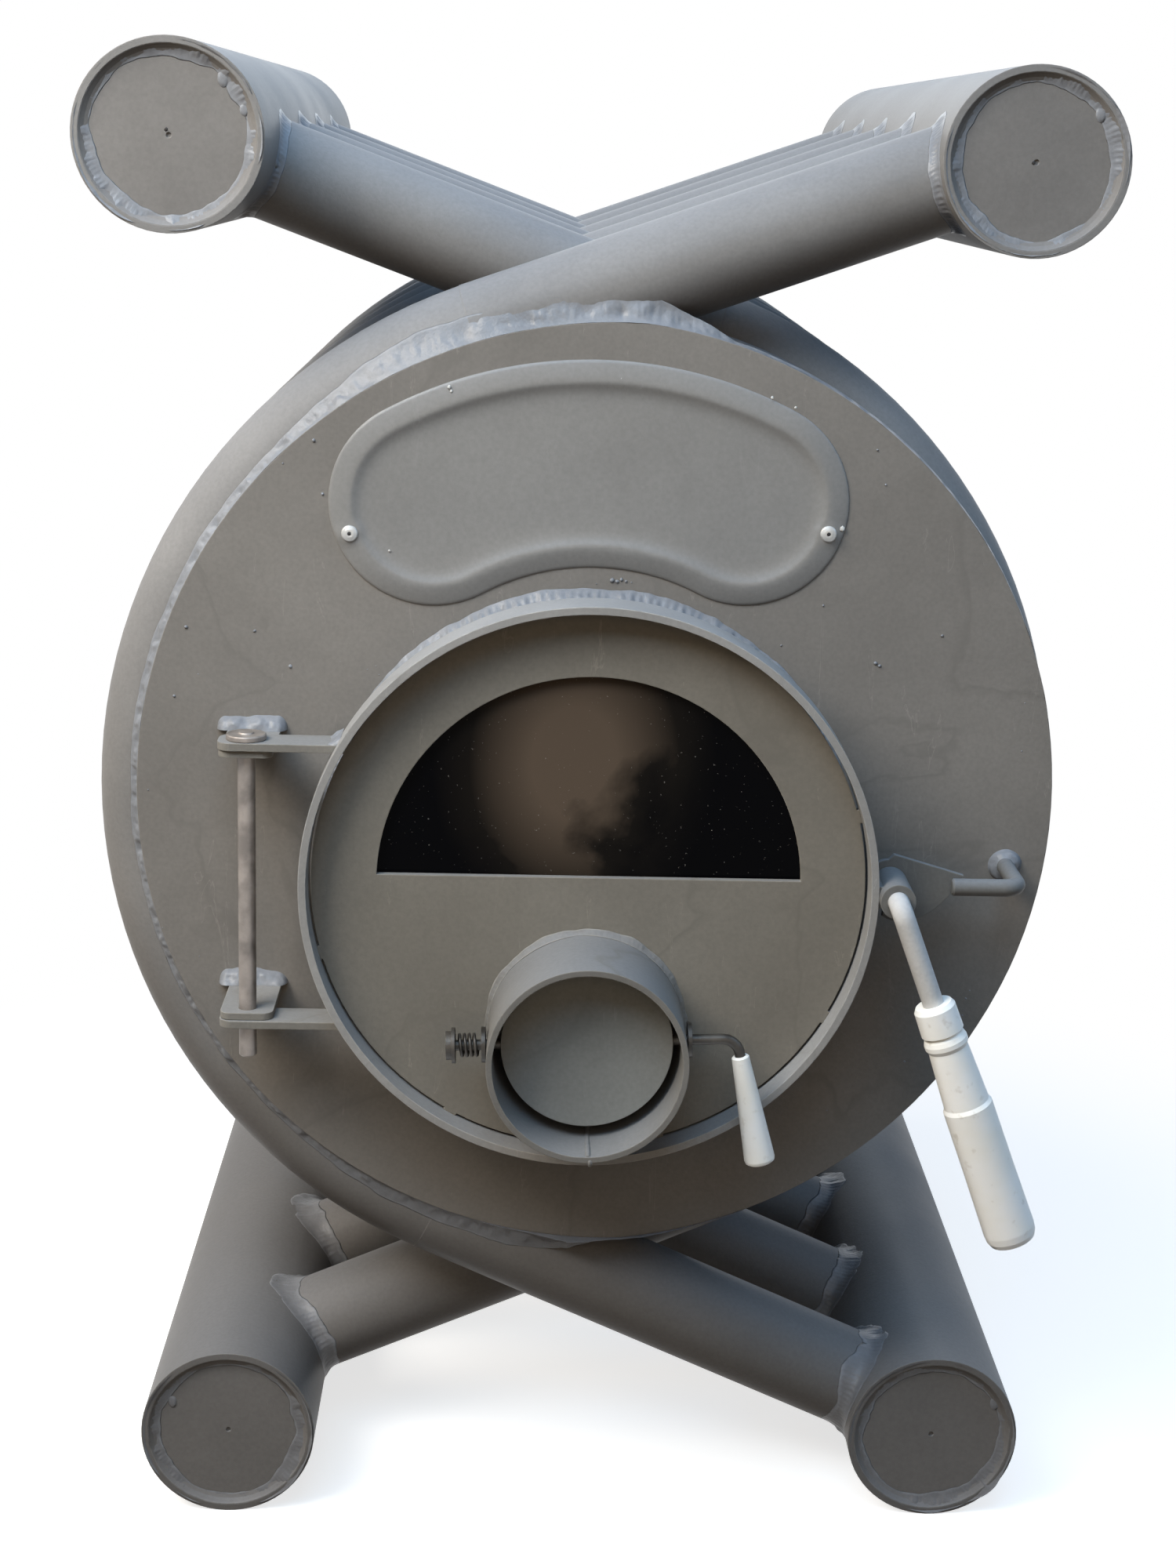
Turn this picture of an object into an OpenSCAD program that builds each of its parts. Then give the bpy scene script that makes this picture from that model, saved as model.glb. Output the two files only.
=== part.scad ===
// Wood-burning convection stove: a drum wrapped by C-shaped air tubes that cross above and
// below it and run into four collector pipes. The lower two collectors are its feet.
// Frame: +X to the right, +Y to the rear, +Z up, floor at Z = 0, middle of the box at X = Y = 0.

/* [Air tubes] */
// Outer diameter of the bent air tubes
tube_od = 60; // [50:1:64]
// Wall of the bent air tubes
tube_wall = 3; // [2:0.5:5]
// Amount by which bending draws the tube's section in
bend_draw = 0.3; // [0.3:0.1:0.8]
// Gap where two neighbouring tubes cross
tube_gap = 0.5; // [0.4:0.1:4]
// Centreline radius of the bend round the drum
bend_r = 288; // [280:1:296]
// Distance of each bend's centre past the middle, away from the bend
bend_shift = 30; // [22:1:36]
// Height above the door centre of the bends on the left
bend_rise_left = 29; // [23:1:33]
// Height above the door centre of the bends on the right
bend_rise_right = 25; // [21:1:31]
// Distance that the left bends' arms aim outside the collectors' axes
aim_left = 5; // [-4:0.5:7]
// Distance that the right bends' arms aim outside the collectors' axes
aim_right = -2; // [-4:0.5:7]

/* [Collectors] */
// Outer diameter of the collector pipes
collector_od = 105; // [98:1:108]
// Wall of the collector pipes
collector_wall = 4; // [3:0.5:6]
// Length of the collector pipes
collector_len = 640; // [620:5:760]
// Distance between the axes of the upper collectors
upper_span = 476; // [465:1:490]
// Height of the upper collectors above the door centre
upper_rise = 405.5; // [398:0.5:420]
// Distance between the axes of the lower collectors
lower_span = 434; // [420:1:448]
// Shift of the lower collectors to the right
lower_shift = 5.8; // [0:0.2:8]
// Drop of the lower collectors below the door centre
lower_drop = 367; // [360:1:380]
// Distance from the collectors' front ends back to the first tube
front_reach = 16; // [12:1:26]
// Thickness of the end caps
cap_t = 4; // [3:0.5:6]
// Depth of the end caps behind the pipes' front edges
cap_recess = 4; // [2.5:0.5:8]
// Width of the fillet weld round each end cap
cap_fillet = 5; // [3:0.5:8]
// Diameter of the punch mark at each cap's centre
cap_mark = 3; // [1:0.5:5]

/* [Drum] */
// Thickness of the front and back plates
plate_t = 4.5; // [3:0.5:7]
// How far inside the left-bent tubes' centreline the plates' left edge is bent
plate_in_left = 12; // [6:1:18]
// Distance of the left edge's centre right of the middle
plate_shift_left = 14; // [10:1:18]
// How far inside the right-bent tubes' centreline the plates' right edge is bent
plate_in_right = 10.5; // [6:0.5:16]
// Distance of the right edge's centre left of the middle
plate_shift_right = 5; // [2:1:9]
// Height of the plates' centre above the door centre
plate_rise = 35; // [31:1:38]
// Thickness of the wall strips between the tubes
strip_t = 3; // [2:0.5:5]
// Distance of the strips outside the tubes' centreline
strip_out = 0; // [-6:0.5:10]
// Thickness of the baffle under the flue
baffle_t = 4; // [3:0.5:6]
// Height of the baffle above the door centre
baffle_rise = 150; // [146:1:154]
// Open passage in front of the baffle
baffle_passage = 120; // [60:5:200]

/* [Door] */
// Outer diameter of the neck welded to the front plate
neck_od = 305; // [300:1:308]
// Wall of the neck
neck_wall = 4; // [3:0.5:6]
// Outer diameter of the door ring
rim_od = 325; // [322:1:332]
// Wall of the door ring
rim_wall = 4.3; // [3:0.1:5]
// Depth of the door ring
rim_depth = 29; // [26:1:36]
// Distance from the front plate to the door ring's rear edge
rim_stand = 45.5; // [40:0.5:52]
// Depth of the door plate behind the ring's front edge
disc_recess = 17; // [10:0.5:18]
// Thickness of the door plate
disc_t = 4.5; // [3:0.5:6]
// Gap between the door plate and the ring, bridged by tack welds
disc_gap = 1.5; // [0.5:0.1:2.5]
// Count of tack welds round the door plate
tacks = 8; // [4:1:12]
// Thickness of the rope seal when the door is shut
seal_t = 5.5; // [4.5:0.5:7]
// Width of the rope seal
seal_w = 9.4; // [8:0.2:10]
// Wall of the ring that holds the seal from inside
channel_wall = 2.5; // [1.5:0.5:3.5]

/* [Window] */
// Radius of the half-round window
window_r = 120; // [112:1:124]
// Height of the window's flat edge above the door centre
window_low = 4; // [0:1:12]
// Thickness of the glass
glass_t = 4; // [3:0.5:5]
// Lap of the glass behind the door plate
glass_lap = 7; // [5:0.5:9]
// Width of the retaining frame outside the glass
frame_w = 9; // [7:0.5:11]
// Thickness of the frame's flange behind the glass
frame_t = 2.5; // [1.5:0.5:4]

/* [Air intake] */
// Outer diameter of the intake pipe
intake_od = 111.8; // [108:0.2:114]
// Wall of the intake pipe
intake_wall = 3.4; // [2:0.2:4]
// Length of the intake pipe in front of the door plate
intake_len = 65; // [60:1:80]
// Drop of the intake pipe below the door centre
intake_drop = 85; // [83:1:90]
// Height of the flap's shaft above the pipe's axis
shaft_rise = 3.5; // [0:0.5:4]
// Lean of the flap's shaft, right end up, in degrees
shaft_tilt = 2.3; // [0:0.1:4]
// Diameter of the flap's shaft
shaft_d = 6; // [5:0.5:8]
// Distance from the pipe's front edge back to the shaft
shaft_back = 31; // [28:1:36]
// Thickness of the flap
flap_t = 2; // [1.5:0.5:3]
// Diameter of the flap
flap_d = 96; // [80:1:96]
// Diameter of the washers on the shaft
washer_d = 20; // [16:1:24]
// Thickness of the washers on the shaft
washer_t = 2.4; // [1.5:0.1:3]
// Coil diameter of the shaft's spring
spring_od = 13.6; // [12:0.2:16]
// Wire of the spring
spring_wire = 1.8; // [1.2:0.1:2]
// Length of the spring
spring_len = 14.6; // [14:0.2:20]
// Turns of the spring
spring_turns = 4; // [3:1:4]
// Bend radius of the flap's lever
lever_bend = 10; // [6:0.5:12]
// Reach of the lever past its washer
lever_reach = 27; // [24:1:34]
// Lean of the lever from the vertical, in degrees
lever_lean = 10; // [0:0.2:20]
// Length of the flap's grip
small_grip_len = 65; // [50:1:80]
// Diameter of the flap's grip at its top
small_grip_top = 10; // [9:0.5:12]
// Diameter of the flap's grip at its end
small_grip_end = 18; // [14:0.5:20]
// Width of the heat shield behind the intake
shield_w = 150; // [120:1:160]
// Height of the heat shield
shield_h = 84; // [70:1:92]
// Distance of the heat shield behind the door plate
shield_off = 18; // [10:1:24]
// Thickness of the heat shield
shield_t = 2.5; // [1.5:0.5:4]

/* [Hinge] */
// Diameter of the hinge pin
pin_d = 10; // [8:0.5:12]
// Distance of the pin left of the door centre
pin_off = 193.5; // [191:0.5:198]
// Distance of the pin in front of the front plate
pin_stand = 46.5; // [45:0.5:48]
// Diameter of the pin's head
pin_head_d = 22.4; // [18:0.2:24]
// Thickness of the pin's head
pin_head_t = 3; // [2:0.5:5]
// Length of pin that shows below the lower arm
pin_tail = 20; // [6:1:30]
// Width of the lugs
lug_w = 30; // [26:1:34]
// Thickness of the lugs
lug_t = 4; // [3:0.5:6]
// Distance from the pin to the lugs' front edges
lug_end = 10; // [9:0.5:13]
// Height of the upper lug's top above the door centre
lug_up = 73.5; // [60:1:80]
// Drop of the lower lug's underside below the door centre
lug_down = 84; // [74:1:94]
// Width of the door's hinge arms
arm_w = 24; // [20:1:26]
// Reach of the hinge arms past the pin
arm_end = 15.5; // [12:0.5:18]
// Thickness of the door's hinge arms
arm_t = 4.4; // [3.4:0.2:7]

/* [Latch] */
// Outer diameter of the latch boss
boss_od = 20; // [18:0.5:24]
// Distance the boss stands in front of the door ring
boss_front = 7; // [3:0.5:12]
// Diameter of the latch rod
rod_d = 12; // [10:0.5:13]
// Bend radius of the latch rod
rod_bend = 9; // [8:0.5:14]
// Lean of the handle from the vertical, in degrees
handle_lean = 20.8; // [10:0.2:30]
// Distance from the latch axis to the grip
grip_start = 60; // [50:1:70]
// Length of the grip
grip_len = 152; // [120:1:160]
// Diameter of the grip at its end
grip_d = 30; // [26:0.5:34]
// Thickness of the latch cam
cam_t = 4; // [3:0.5:6]
// Reach of the cam from the latch axis
cam_reach = 43; // [41:0.5:46]
// Reach of the cam's trailing side
cam_low = 29; // [24:0.5:31]
// Diameter of the catch hook's bar
hook_d = 10; // [8:0.5:12]
// Distance from the latch axis to the hook's free end
hook_near = 35; // [33:0.5:38]
// Distance from the latch axis to the hook's stem
hook_far = 74; // [66:1:80]
// Bend radius of the hook's bar
hook_bend = 9; // [7:0.5:12]

/* [Name plate] */
// Centreline radius of the curved plate
badge_r = 191; // [180:1:200]
// Half of the plate's arc, in degrees
badge_half = 27.8; // [22:0.2:30]
// Half of the plate's width across the arc
badge_w = 59; // [50:1:59]
// Height of the arc's centre above the door centre
badge_rise = 40; // [38:1:44]
// Lean of the name plate, right end up, in degrees
badge_tilt = 1.3; // [0:0.1:3]
// Sheet thickness at the plate's edge
badge_t = 1.2; // [0.8:0.1:2]
// Height of the raised border
badge_border = 3; // [2:0.1:4]
// Width of the raised border
badge_border_w = 14; // [10:0.5:16]
// Diameter of the rivets
rivet_d = 9.4; // [7:0.2:10]

/* [Flue] */
// Outer diameter of the flue collar
flue_od = 120; // [110:1:122]
// Wall of the flue collar
flue_wall = 2.5; // [2:0.5:4]
// Length of the flue collar
flue_len = 74; // [64:1:75]
// How far the collar's foot, which the stove pipe stops at, stands out round it
flue_foot = 2; // [1:0.5:4]
// Height of the flue collar above the door centre
flue_rise = 218; // [215:1:222]
// Distance of the damper's shaft behind the back plate
damper_back = 20; // [12:1:24]
// Diameter of the damper's shaft
damper_shaft_d = 8; // [6:0.5:10]
// Thickness of the damper
damper_t = 2.5; // [2:0.5:4]
// Gap between the damper and the collar
damper_gap = 1.5; // [1:0.5:4]
// Reach of the damper's shaft past the collar
damper_reach = 38; // [30:1:50]
// Length of the damper's handle
damper_handle = 70; // [50:1:90]

/* [Fits] */
// Radial clearance of every shaft in its bore
run = 0.08; // [0.03:0.01:0.1]
// Gap between faces that move past each other or are pressed together in use
seat = 0.3; // [0.2:0.05:0.4]

/* [Hidden] */
$fn = 96;
paint = [0.43, 0.415, 0.385];
paint_light = [0.5, 0.485, 0.455];
bare_steel = [0.52, 0.5, 0.47];
white = [0.93, 0.91, 0.86];

tube_r = tube_od / 2;
tube_in = tube_r - tube_wall;
pitch = tube_od + tube_gap;
tube_count = 9;
arm_lap = 3;
collector_r = collector_od / 2;
collector_in = collector_r - collector_wall;

// Depths along Y, from the collectors' front ends
intake_proj = intake_len + rim_depth - disc_recess + rim_stand + plate_t - front_reach;
y_front = -(collector_len - intake_proj) / 2;
y_plate = y_front + front_reach - plate_t;
y_first = y_front + front_reach + tube_r;
y_last = y_first + (tube_count - 1) * pitch;
y_back = y_last + tube_r;
y_rim_back = y_plate - rim_stand;
y_rim = y_rim_back - rim_depth;
y_disc = y_rim + disc_recess;
y_disc_back = y_disc + disc_t;
y_neck = y_disc_back + seal_t + seat;
y_intake = y_disc - intake_len;
y_shaft = y_intake + shaft_back;
y_pin = y_plate - pin_stand;

// Heights above the floor
z_door = lower_drop + collector_r;
z_plates = z_door + plate_rise;
z_intake = z_door - intake_drop;
z_shaft = z_intake + shaft_rise;
z_flue = z_door + flue_rise;
z_upper = z_door + upper_rise;
z_lower = collector_r;
x_upper = upper_span / 2;
x_lower = lower_span / 2;

// Both kinds of tube are drawn bent to the left: kind 0 is one that stays so, and kind 1 is
// mirrored to bend to the right. Height of the bend's centre, and its upper or lower collector:
function z_bend(kind) = z_door + (kind == 0 ? bend_rise_left : bend_rise_right);
function aim(kind) = kind == 0 ? aim_left : aim_right;
function x_mate(kind, up) = up ? x_upper : x_lower + (kind == 0 ? 1 : -1) * lower_shift;
function z_mate(up) = up ? z_upper : z_lower;

// From the bend's centre to the point its arm aims at, the direction of the tangent point where
// the straight arm leaves the bend, and the arm's length
function reach(kind, up) = [
  x_mate(kind, up) - bend_shift,
  z_mate(up) + (up ? 1 : -1) * aim(kind) - z_bend(kind)
];
function tangent(kind, up) =
  let (d = reach(kind, up))
  atan2(d[1], d[0]) + (up ? 1 : -1) * acos(bend_r / norm(d));
function arm_len(kind, up) = sqrt(pow(norm(reach(kind, up)), 2) - bend_r * bend_r);

strip_r = bend_r + strip_out;
plate_r_left = bend_r - plate_in_left;
plate_r_right = bend_r - plate_in_right;
// Half of a tube's width at the strips' inner face
strip_edge = sqrt(tube_r * tube_r - pow(strip_out - strip_t / 2, 2)) + 0.1;

rim_r = rim_od / 2;
rim_in = rim_r - rim_wall;
disc_r = rim_in - disc_gap;
neck_r = neck_od / 2;
neck_in = neck_r - neck_wall;
seal_r = neck_r - neck_wall / 2;
channel_r = seal_r - seal_w / 2 - 0.1;
intake_r = intake_od / 2;
intake_in = intake_r - intake_wall;
shaft_r = shaft_d / 2;
glass_gap = 0.3;

x_boss = rim_r + boss_od / 2;
y_boss = y_rim - boss_front;
y_cam = y_rim_back + 1 + seat;
y_hook = y_cam - seat - hook_d / 2;
y_handle = y_boss - seat - rod_bend;
rod_r = rod_d / 2;

y_spigot = y_back + plate_t;
y_damper = y_spigot + damper_back;
y_foot = y_damper + damper_shaft_d / 2 + 8;
flue_r = flue_od / 2;
flue_in = flue_r - flue_wall;

// A round bar along Y from y0 to y1
module bar_y(r, y0, y1) {
  translate([0, y1, 0]) rotate([90, 0, 0]) cylinder(r = r, h = y1 - y0);
}

// A pipe along Y from y0 to y1
module pipe_y(r, r_in, y0, y1) {
  difference() {
    bar_y(r, y0, y1);
    bar_y(r_in, y0 - 1, y1 + 1);
  }
}

// A flat outline drawn in X and Z, given thickness from y0 to y1
module sheet_y(y0, y1) {
  translate([0, y1, 0]) rotate([90, 0, 0]) linear_extrude(height = y1 - y0) children();
}

// A round bar along X from x0 to x1
module bar_x(r, x0, x1) {
  translate([x0, 0, 0]) rotate([0, 90, 0]) cylinder(r = r, h = x1 - x0);
}

// A straight arm of radius r from the bend towards a collector. It starts before the bend's
// end and runs past the collector's axis by the two given lengths.
module arm(kind, up, r, before, past) {
  a = tangent(kind, up);
  translate([bend_shift + bend_r * cos(a), 0, z_bend(kind) + bend_r * sin(a)])
    rotate([0, (up ? 180 : 0) - a, 0])
      translate([0, 0, -before])
        cylinder(r = r, h = arm_len(kind, up) + before + past);
}

// Carries a flat section round the bend, from one arm to the other
module round_bend(kind) {
  translate([bend_shift, 0, z_bend(kind)])
    rotate([90, 0, 0])
      rotate([0, 0, tangent(kind, true)])
        rotate_extrude(angle = 360 + tangent(kind, false) - tangent(kind, true))
          translate([bend_r, 0])
            children();
}

// One straight arm as a pipe, coped to fit round its collector. It laps the end of the bend,
// whose section is drawn in by a hair.
module coped_arm(kind, up) {
  difference() {
    arm(kind, up, tube_r, arm_lap, 0);
    arm(kind, up, tube_in, arm_lap + 1, 1);
    translate([x_mate(kind, up), 0, z_mate(up)]) bar_y(collector_r, -tube_od, tube_od);
  }
}

// Puts a left-bent tube's shapes where tube number i is
module at_tube(i) {
  translate([0, y_first + (i - 1) * pitch, 0])
    mirror([i % 2 == 0 ? 1 : 0, 0, 0])
      children();
}

// Tube number i: odd ones bend to the left, even ones to the right
module tube(i) {
  kind = (i + 1) % 2;
  color(i == 1 ? paint_light : paint)
    at_tube(i)
      union() {
        round_bend(kind)
          difference() {
            circle(r = tube_r - bend_draw);
            circle(r = tube_in - bend_draw);
          }
        coped_arm(kind, true);
        coped_arm(kind, false);
      }
}

// Signed distance from the centreline of the crossing tube's arm to the point at angle a on a
// circle on the other kind's side: c is its centre and r its radius
function arm_gap(a, c, r, kind, up) =
  let (t = tangent(kind, up))
  let (p = [c[0] + r * cos(a), c[1] + r * sin(a)])
  let (q = [-bend_shift - bend_r * cos(t), z_bend(kind) + bend_r * sin(t)])
  (q - p) * [-cos(t), sin(t)];
// Steps along the circle towards the crossing until its wall reaches the tube
function meet(a, step, c, r, kind, up) =
  arm_gap(a + step, c, r, kind, up) < tube_r + 0.2 ? a
  : meet(a + step, step, c, r, kind, up);

// One strip of drum wall on the left side, from depth y0 to y1, bent to radius r round c. It
// ends above and below where the crossing tube, of the given kind, passes over it.
module wall_strip(y0, y1, c, r, kind) {
  top_a = meet(150, -0.1, c, r + strip_t / 2, kind, true);
  low_a = meet(210, 0.1, c, r + strip_t / 2, kind, false);
  translate([c[0], y1, c[1]])
    rotate([90, 0, 0])
      rotate([0, 0, top_a])
        rotate_extrude(angle = low_a - top_a)
          translate([r - strip_t / 2, 0])
            square([strip_t, y1 - y0]);
}

// Strips on the left: between the left-bent tubes
module wall_strips_left() {
  c = [bend_shift, z_bend(0)];
  color(paint)
    for (i = [1 : 2 : tube_count - 2])
      wall_strip(
        y_first + (i - 1) * pitch + strip_edge,
        y_first + (i + 1) * pitch - strip_edge,
        c, strip_r, 1
      );
}

// Strips on the right: the first follows the front plate's edge back to the second tube, whose
// side it is cut to fit; the others lie between the right-bent tubes and on to the back plate
module wall_strips_right() {
  c = [bend_shift, z_bend(1)];
  c_first = [plate_shift_right, z_plates];
  color(paint) {
    difference() {
      mirror([1, 0, 0])
        wall_strip(
          y_front + front_reach, y_first + pitch,
          c_first, plate_r_right - strip_t / 2, 0
        );
      at_tube(2) {
        round_bend(1) circle(r = tube_r + 0.1);
        arm(1, true, tube_r + 0.1, 1, 0);
        arm(1, false, tube_r + 0.1, 1, 0);
      }
    }
    mirror([1, 0, 0]) {
      for (i = [2 : 2 : tube_count - 3])
        wall_strip(
          y_first + (i - 1) * pitch + strip_edge,
          y_first + (i + 1) * pitch - strip_edge,
          c, strip_r, 0
        );
      wall_strip(y_last - pitch + strip_edge, y_back, c, strip_r, 0);
    }
  }
}

// Outline of the drum's end plates
module plate_outline() {
  intersection() {
    translate([plate_shift_left, z_plates]) circle(r = plate_r_left, $fn = 192);
    translate([-plate_shift_right, z_plates]) circle(r = plate_r_right, $fn = 192);
  }
}

module front_plate() {
  color(paint)
    sheet_y(y_plate, y_plate + plate_t)
      difference() {
        plate_outline();
        translate([0, z_door]) circle(r = neck_in);
      }
}

module back_plate() {
  color(paint)
    sheet_y(y_back, y_back + plate_t)
      difference() {
        plate_outline();
        translate([0, z_flue]) circle(r = flue_in);
      }
}

// Half of the space between facing tubes, and between facing strips, at the baffle's height
baffle_z = z_door + baffle_rise;
baffle_over = baffle_z + baffle_t - min(z_bend(0), z_bend(1));
function side_x(r) = sqrt(r * r - baffle_over * baffle_over) - bend_shift;
baffle_in = side_x(bend_r - tube_r) - 0.5;
baffle_out = side_x(strip_r - strip_t / 2) - 0.5;

// Flat plate across the drum, with a tongue between every two tubes
module baffle() {
  y0 = y_front + front_reach + baffle_passage;
  color(paint)
    translate([0, 0, baffle_z])
      linear_extrude(height = baffle_t)
        difference() {
          translate([-baffle_out, y0]) square([2 * baffle_out, y_back - y0]);
          for (i = [1 : tube_count])
            translate([
              i % 2 == 1 ? -baffle_out - 1 : baffle_in,
              y_first + (i - 1) * pitch - tube_r - 0.5
            ])
              square([baffle_out - baffle_in + 1, tube_od + 1]);
        }
}

// A collector with its tubes' holes. side: 1 right, -1 left
module collector(side, up) {
  kind = side == 1 ? 0 : 1;
  color(paint)
    difference() {
      translate([side * x_mate(kind, up), 0, z_mate(up)])
        pipe_y(collector_r, collector_in, y_front, y_front + collector_len);
      for (i = [kind + 1 : 2 : tube_count])
        at_tube(i) arm(kind, up, tube_in, 0, 0);
    }
}

// End cap: a disc inside the pipe's front end with its fillet weld and punch mark
module cap(side, up) {
  r = collector_in - 0.05;
  color(paint_light)
    translate([side * x_mate(side == 1 ? 0 : 1, up), y_front, z_mate(up)])
      rotate([-90, 0, 0])
        difference() {
          rotate_extrude()
            polygon([
              [0, cap_recess],
              [r - cap_fillet, cap_recess],
              [r - cap_fillet * 0.55, cap_recess * 0.72],
              [r - cap_fillet * 0.2, cap_recess * 0.3],
              [r, 0],
              [r, cap_recess + cap_t],
              [0, cap_recess + cap_t]
            ]);
          translate([0, 0, cap_recess - 1]) cylinder(d = cap_mark, h = 2.2);
        }
}

// Neck of the door opening
module door_neck() {
  color(paint)
    translate([0, 0, z_door])
      pipe_y(neck_r, neck_in, y_neck, y_plate);
}

// Flat lug with rounded front corners; its top or underside is set by z
module lug(z) {
  corner = 6;
  color(paint)
    difference() {
      translate([-pin_off, 0, z])
        linear_extrude(height = lug_t)
          union() {
            translate([-lug_w / 2, y_pin - lug_end + corner])
              square([lug_w, y_plate - y_pin + lug_end - corner]);
            translate([-lug_w / 2 + corner, y_pin - lug_end])
              square([lug_w - 2 * corner, 2 * corner]);
            for (s = [-1, 1])
              translate([s * (lug_w / 2 - corner), y_pin - lug_end + corner])
                circle(r = corner);
          }
      pin_bore();
    }
}

// The hole for the hinge pin through lugs and arms
module pin_bore() {
  translate([-pin_off, y_pin, z_door - lug_down - 40])
    cylinder(r = pin_d / 2 + run, h = lug_up + lug_down + 80);
}

module hinge_lug_upper() {
  lug(z_door + lug_up - lug_t);
}

module hinge_lug_lower() {
  lug(z_door - lug_down);
}

// Hinge pin with a flat head, dropped in from above
module hinge_pin() {
  z_head = z_door + lug_up + seat + arm_t + seat;
  z_tail = z_door - lug_down - seat - arm_t - pin_tail;
  color(bare_steel)
    translate([-pin_off, y_pin, 0])
      union() {
        translate([0, 0, z_tail]) cylinder(d1 = pin_d - 2, d2 = pin_d, h = 1);
        translate([0, 0, z_tail + 1]) cylinder(d = pin_d, h = z_head - z_tail - 1);
        translate([0, 0, z_head])
          rotate_extrude()
            polygon([
              [0, 0],
              [pin_head_d / 2, 0],
              [pin_head_d / 2, pin_head_t - 0.6],
              [pin_head_d / 2 - 0.6, pin_head_t],
              [pin_d / 2 - 0.5, pin_head_t],
              [pin_d / 2 - 1, pin_head_t + 0.8],
              [0, pin_head_t + 0.8]
            ]);
      }
}

// Arm welded to the door ring, with rounded corners past the pin. z is its underside.
module hinge_arm(z) {
  corner = 8;
  color(paint)
    difference() {
      translate([-pin_off, y_pin, z])
        linear_extrude(height = arm_t)
          union() {
            translate([corner - arm_end, -arm_w / 2])
              square([pin_off - rim_r / 2 + arm_end - corner, arm_w]);
            translate([-arm_end, corner - arm_w / 2])
              square([corner + 1, arm_w - 2 * corner]);
            for (s = [-1, 1])
              translate([corner - arm_end, s * (arm_w / 2 - corner)]) circle(r = corner);
          }
      pin_bore();
      translate([0, 0, z_door]) bar_y(rim_r, y_rim - 20, y_plate);
    }
}

module hinge_arm_upper() {
  hinge_arm(z_door + lug_up + seat);
}

module hinge_arm_lower() {
  hinge_arm(z_door - lug_down - seat - arm_t);
}

// Bent round bar on the front plate that the latch cam goes behind
module catch_hook() {
  x_stem = x_boss + hook_far;
  x_end = x_boss + hook_near;
  r = hook_d / 2;
  color(paint)
    translate([0, 0, z_door])
      union() {
        translate([x_stem, 0, 0]) bar_y(r, y_hook + hook_bend, y_plate);
        translate([x_stem - hook_bend, y_hook + hook_bend, 0])
          rotate([0, 0, -90])
            rotate_extrude(angle = 90)
              translate([hook_bend, 0]) circle(r = r);
        translate([0, y_hook, 0]) bar_x(r, x_end + 1, x_stem - hook_bend);
        translate([x_end + 1, y_hook, 0])
          rotate([0, -90, 0]) cylinder(r1 = r, r2 = r - 1, h = 1);
      }
}

// Outline of the name plate, w to each side of its centreline, ends drawn in a hair
module badge_band(w) {
  union() {
    intersection() {
      difference() {
        circle(r = badge_r + w, $fn = 192);
        circle(r = badge_r - w, $fn = 192);
      }
      polygon([
        [0, 0],
        2 * badge_r * [-sin(badge_half), cos(badge_half)],
        2.4 * badge_r * [0, 1],
        2 * badge_r * [sin(badge_half), cos(badge_half)]
      ]);
    }
    for (s = [-1, 1])
      translate(badge_r * [s * sin(badge_half), cos(badge_half)]) circle(r = w - 0.4);
  }
}

// Section of the raised border, drawn in by d: distance from the centreline, height
border_low = badge_t - 0.3;
function border_section(d) = [
  [badge_w - badge_border_w + d, border_low],
  [badge_w - 1 - d, border_low],
  [badge_w - 1 - d, badge_t + 0.1],
  [badge_w - 3 - d, badge_t + 0.6 * (badge_border - badge_t)],
  [badge_w - 5, badge_border - d],
  [badge_w - badge_border_w + 4, badge_border - d],
  [badge_w - badge_border_w + 1.5 + d, badge_t + 0.5 * (badge_border - badge_t)],
  [badge_w - badge_border_w + d, badge_t + 0.1]
];

// The border's section carried along one arc: side 1 is the outer arc, -1 the inner one
module border_arc(side) {
  rotate([0, 0, 90 - badge_half])
    rotate_extrude(angle = 2 * badge_half, $fn = 192)
      polygon([for (p = border_section(0)) [badge_r + side * p[0], p[1]]]);
}

// The border round one end. It laps both arcs by a degree, a hair inside them.
module border_end(side) {
  translate(badge_r * [side * sin(badge_half), cos(badge_half), 0])
    rotate([0, 0, side == 1 ? -91 - badge_half : 89 + badge_half])
      rotate_extrude(angle = 182)
        polygon(border_section(0.2));
}

// Curved name plate, bare, with a raised border
module name_plate() {
  color(paint_light)
    translate([0, y_plate, z_door + badge_rise])
      rotate([90, -badge_tilt, 0])
        union() {
          linear_extrude(height = badge_t) badge_band(badge_w);
          border_arc(1);
          border_arc(-1);
          border_end(1);
          border_end(-1);
        }
}

// Two domed rivets at the ends of the name plate's border
rivet_w = badge_w - badge_border_w + 4 + rivet_d / 2 - 3.5;
module name_plate_rivets() {
  a = 20;
  color([0.85, 0.85, 0.84])
    translate([0, y_plate - badge_border, z_door + badge_rise])
      rotate([90, -badge_tilt, 0])
        for (s = [-1, 1])
          translate([
            s * (badge_r * sin(badge_half) + rivet_w * cos(a)),
            badge_r * cos(badge_half) - rivet_w * sin(a),
            0
          ])
          rotate_extrude()
            polygon([
              [0, 0],
              [rivet_d / 2, 0],
              [rivet_d / 2, 0.7],
              [rivet_d / 2 - 0.6, 1.3],
              [rivet_d / 4, 1.9],
              [1.2, 2],
              [0.8, 1.2],
              [0, 1.2]
            ]);
}

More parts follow.
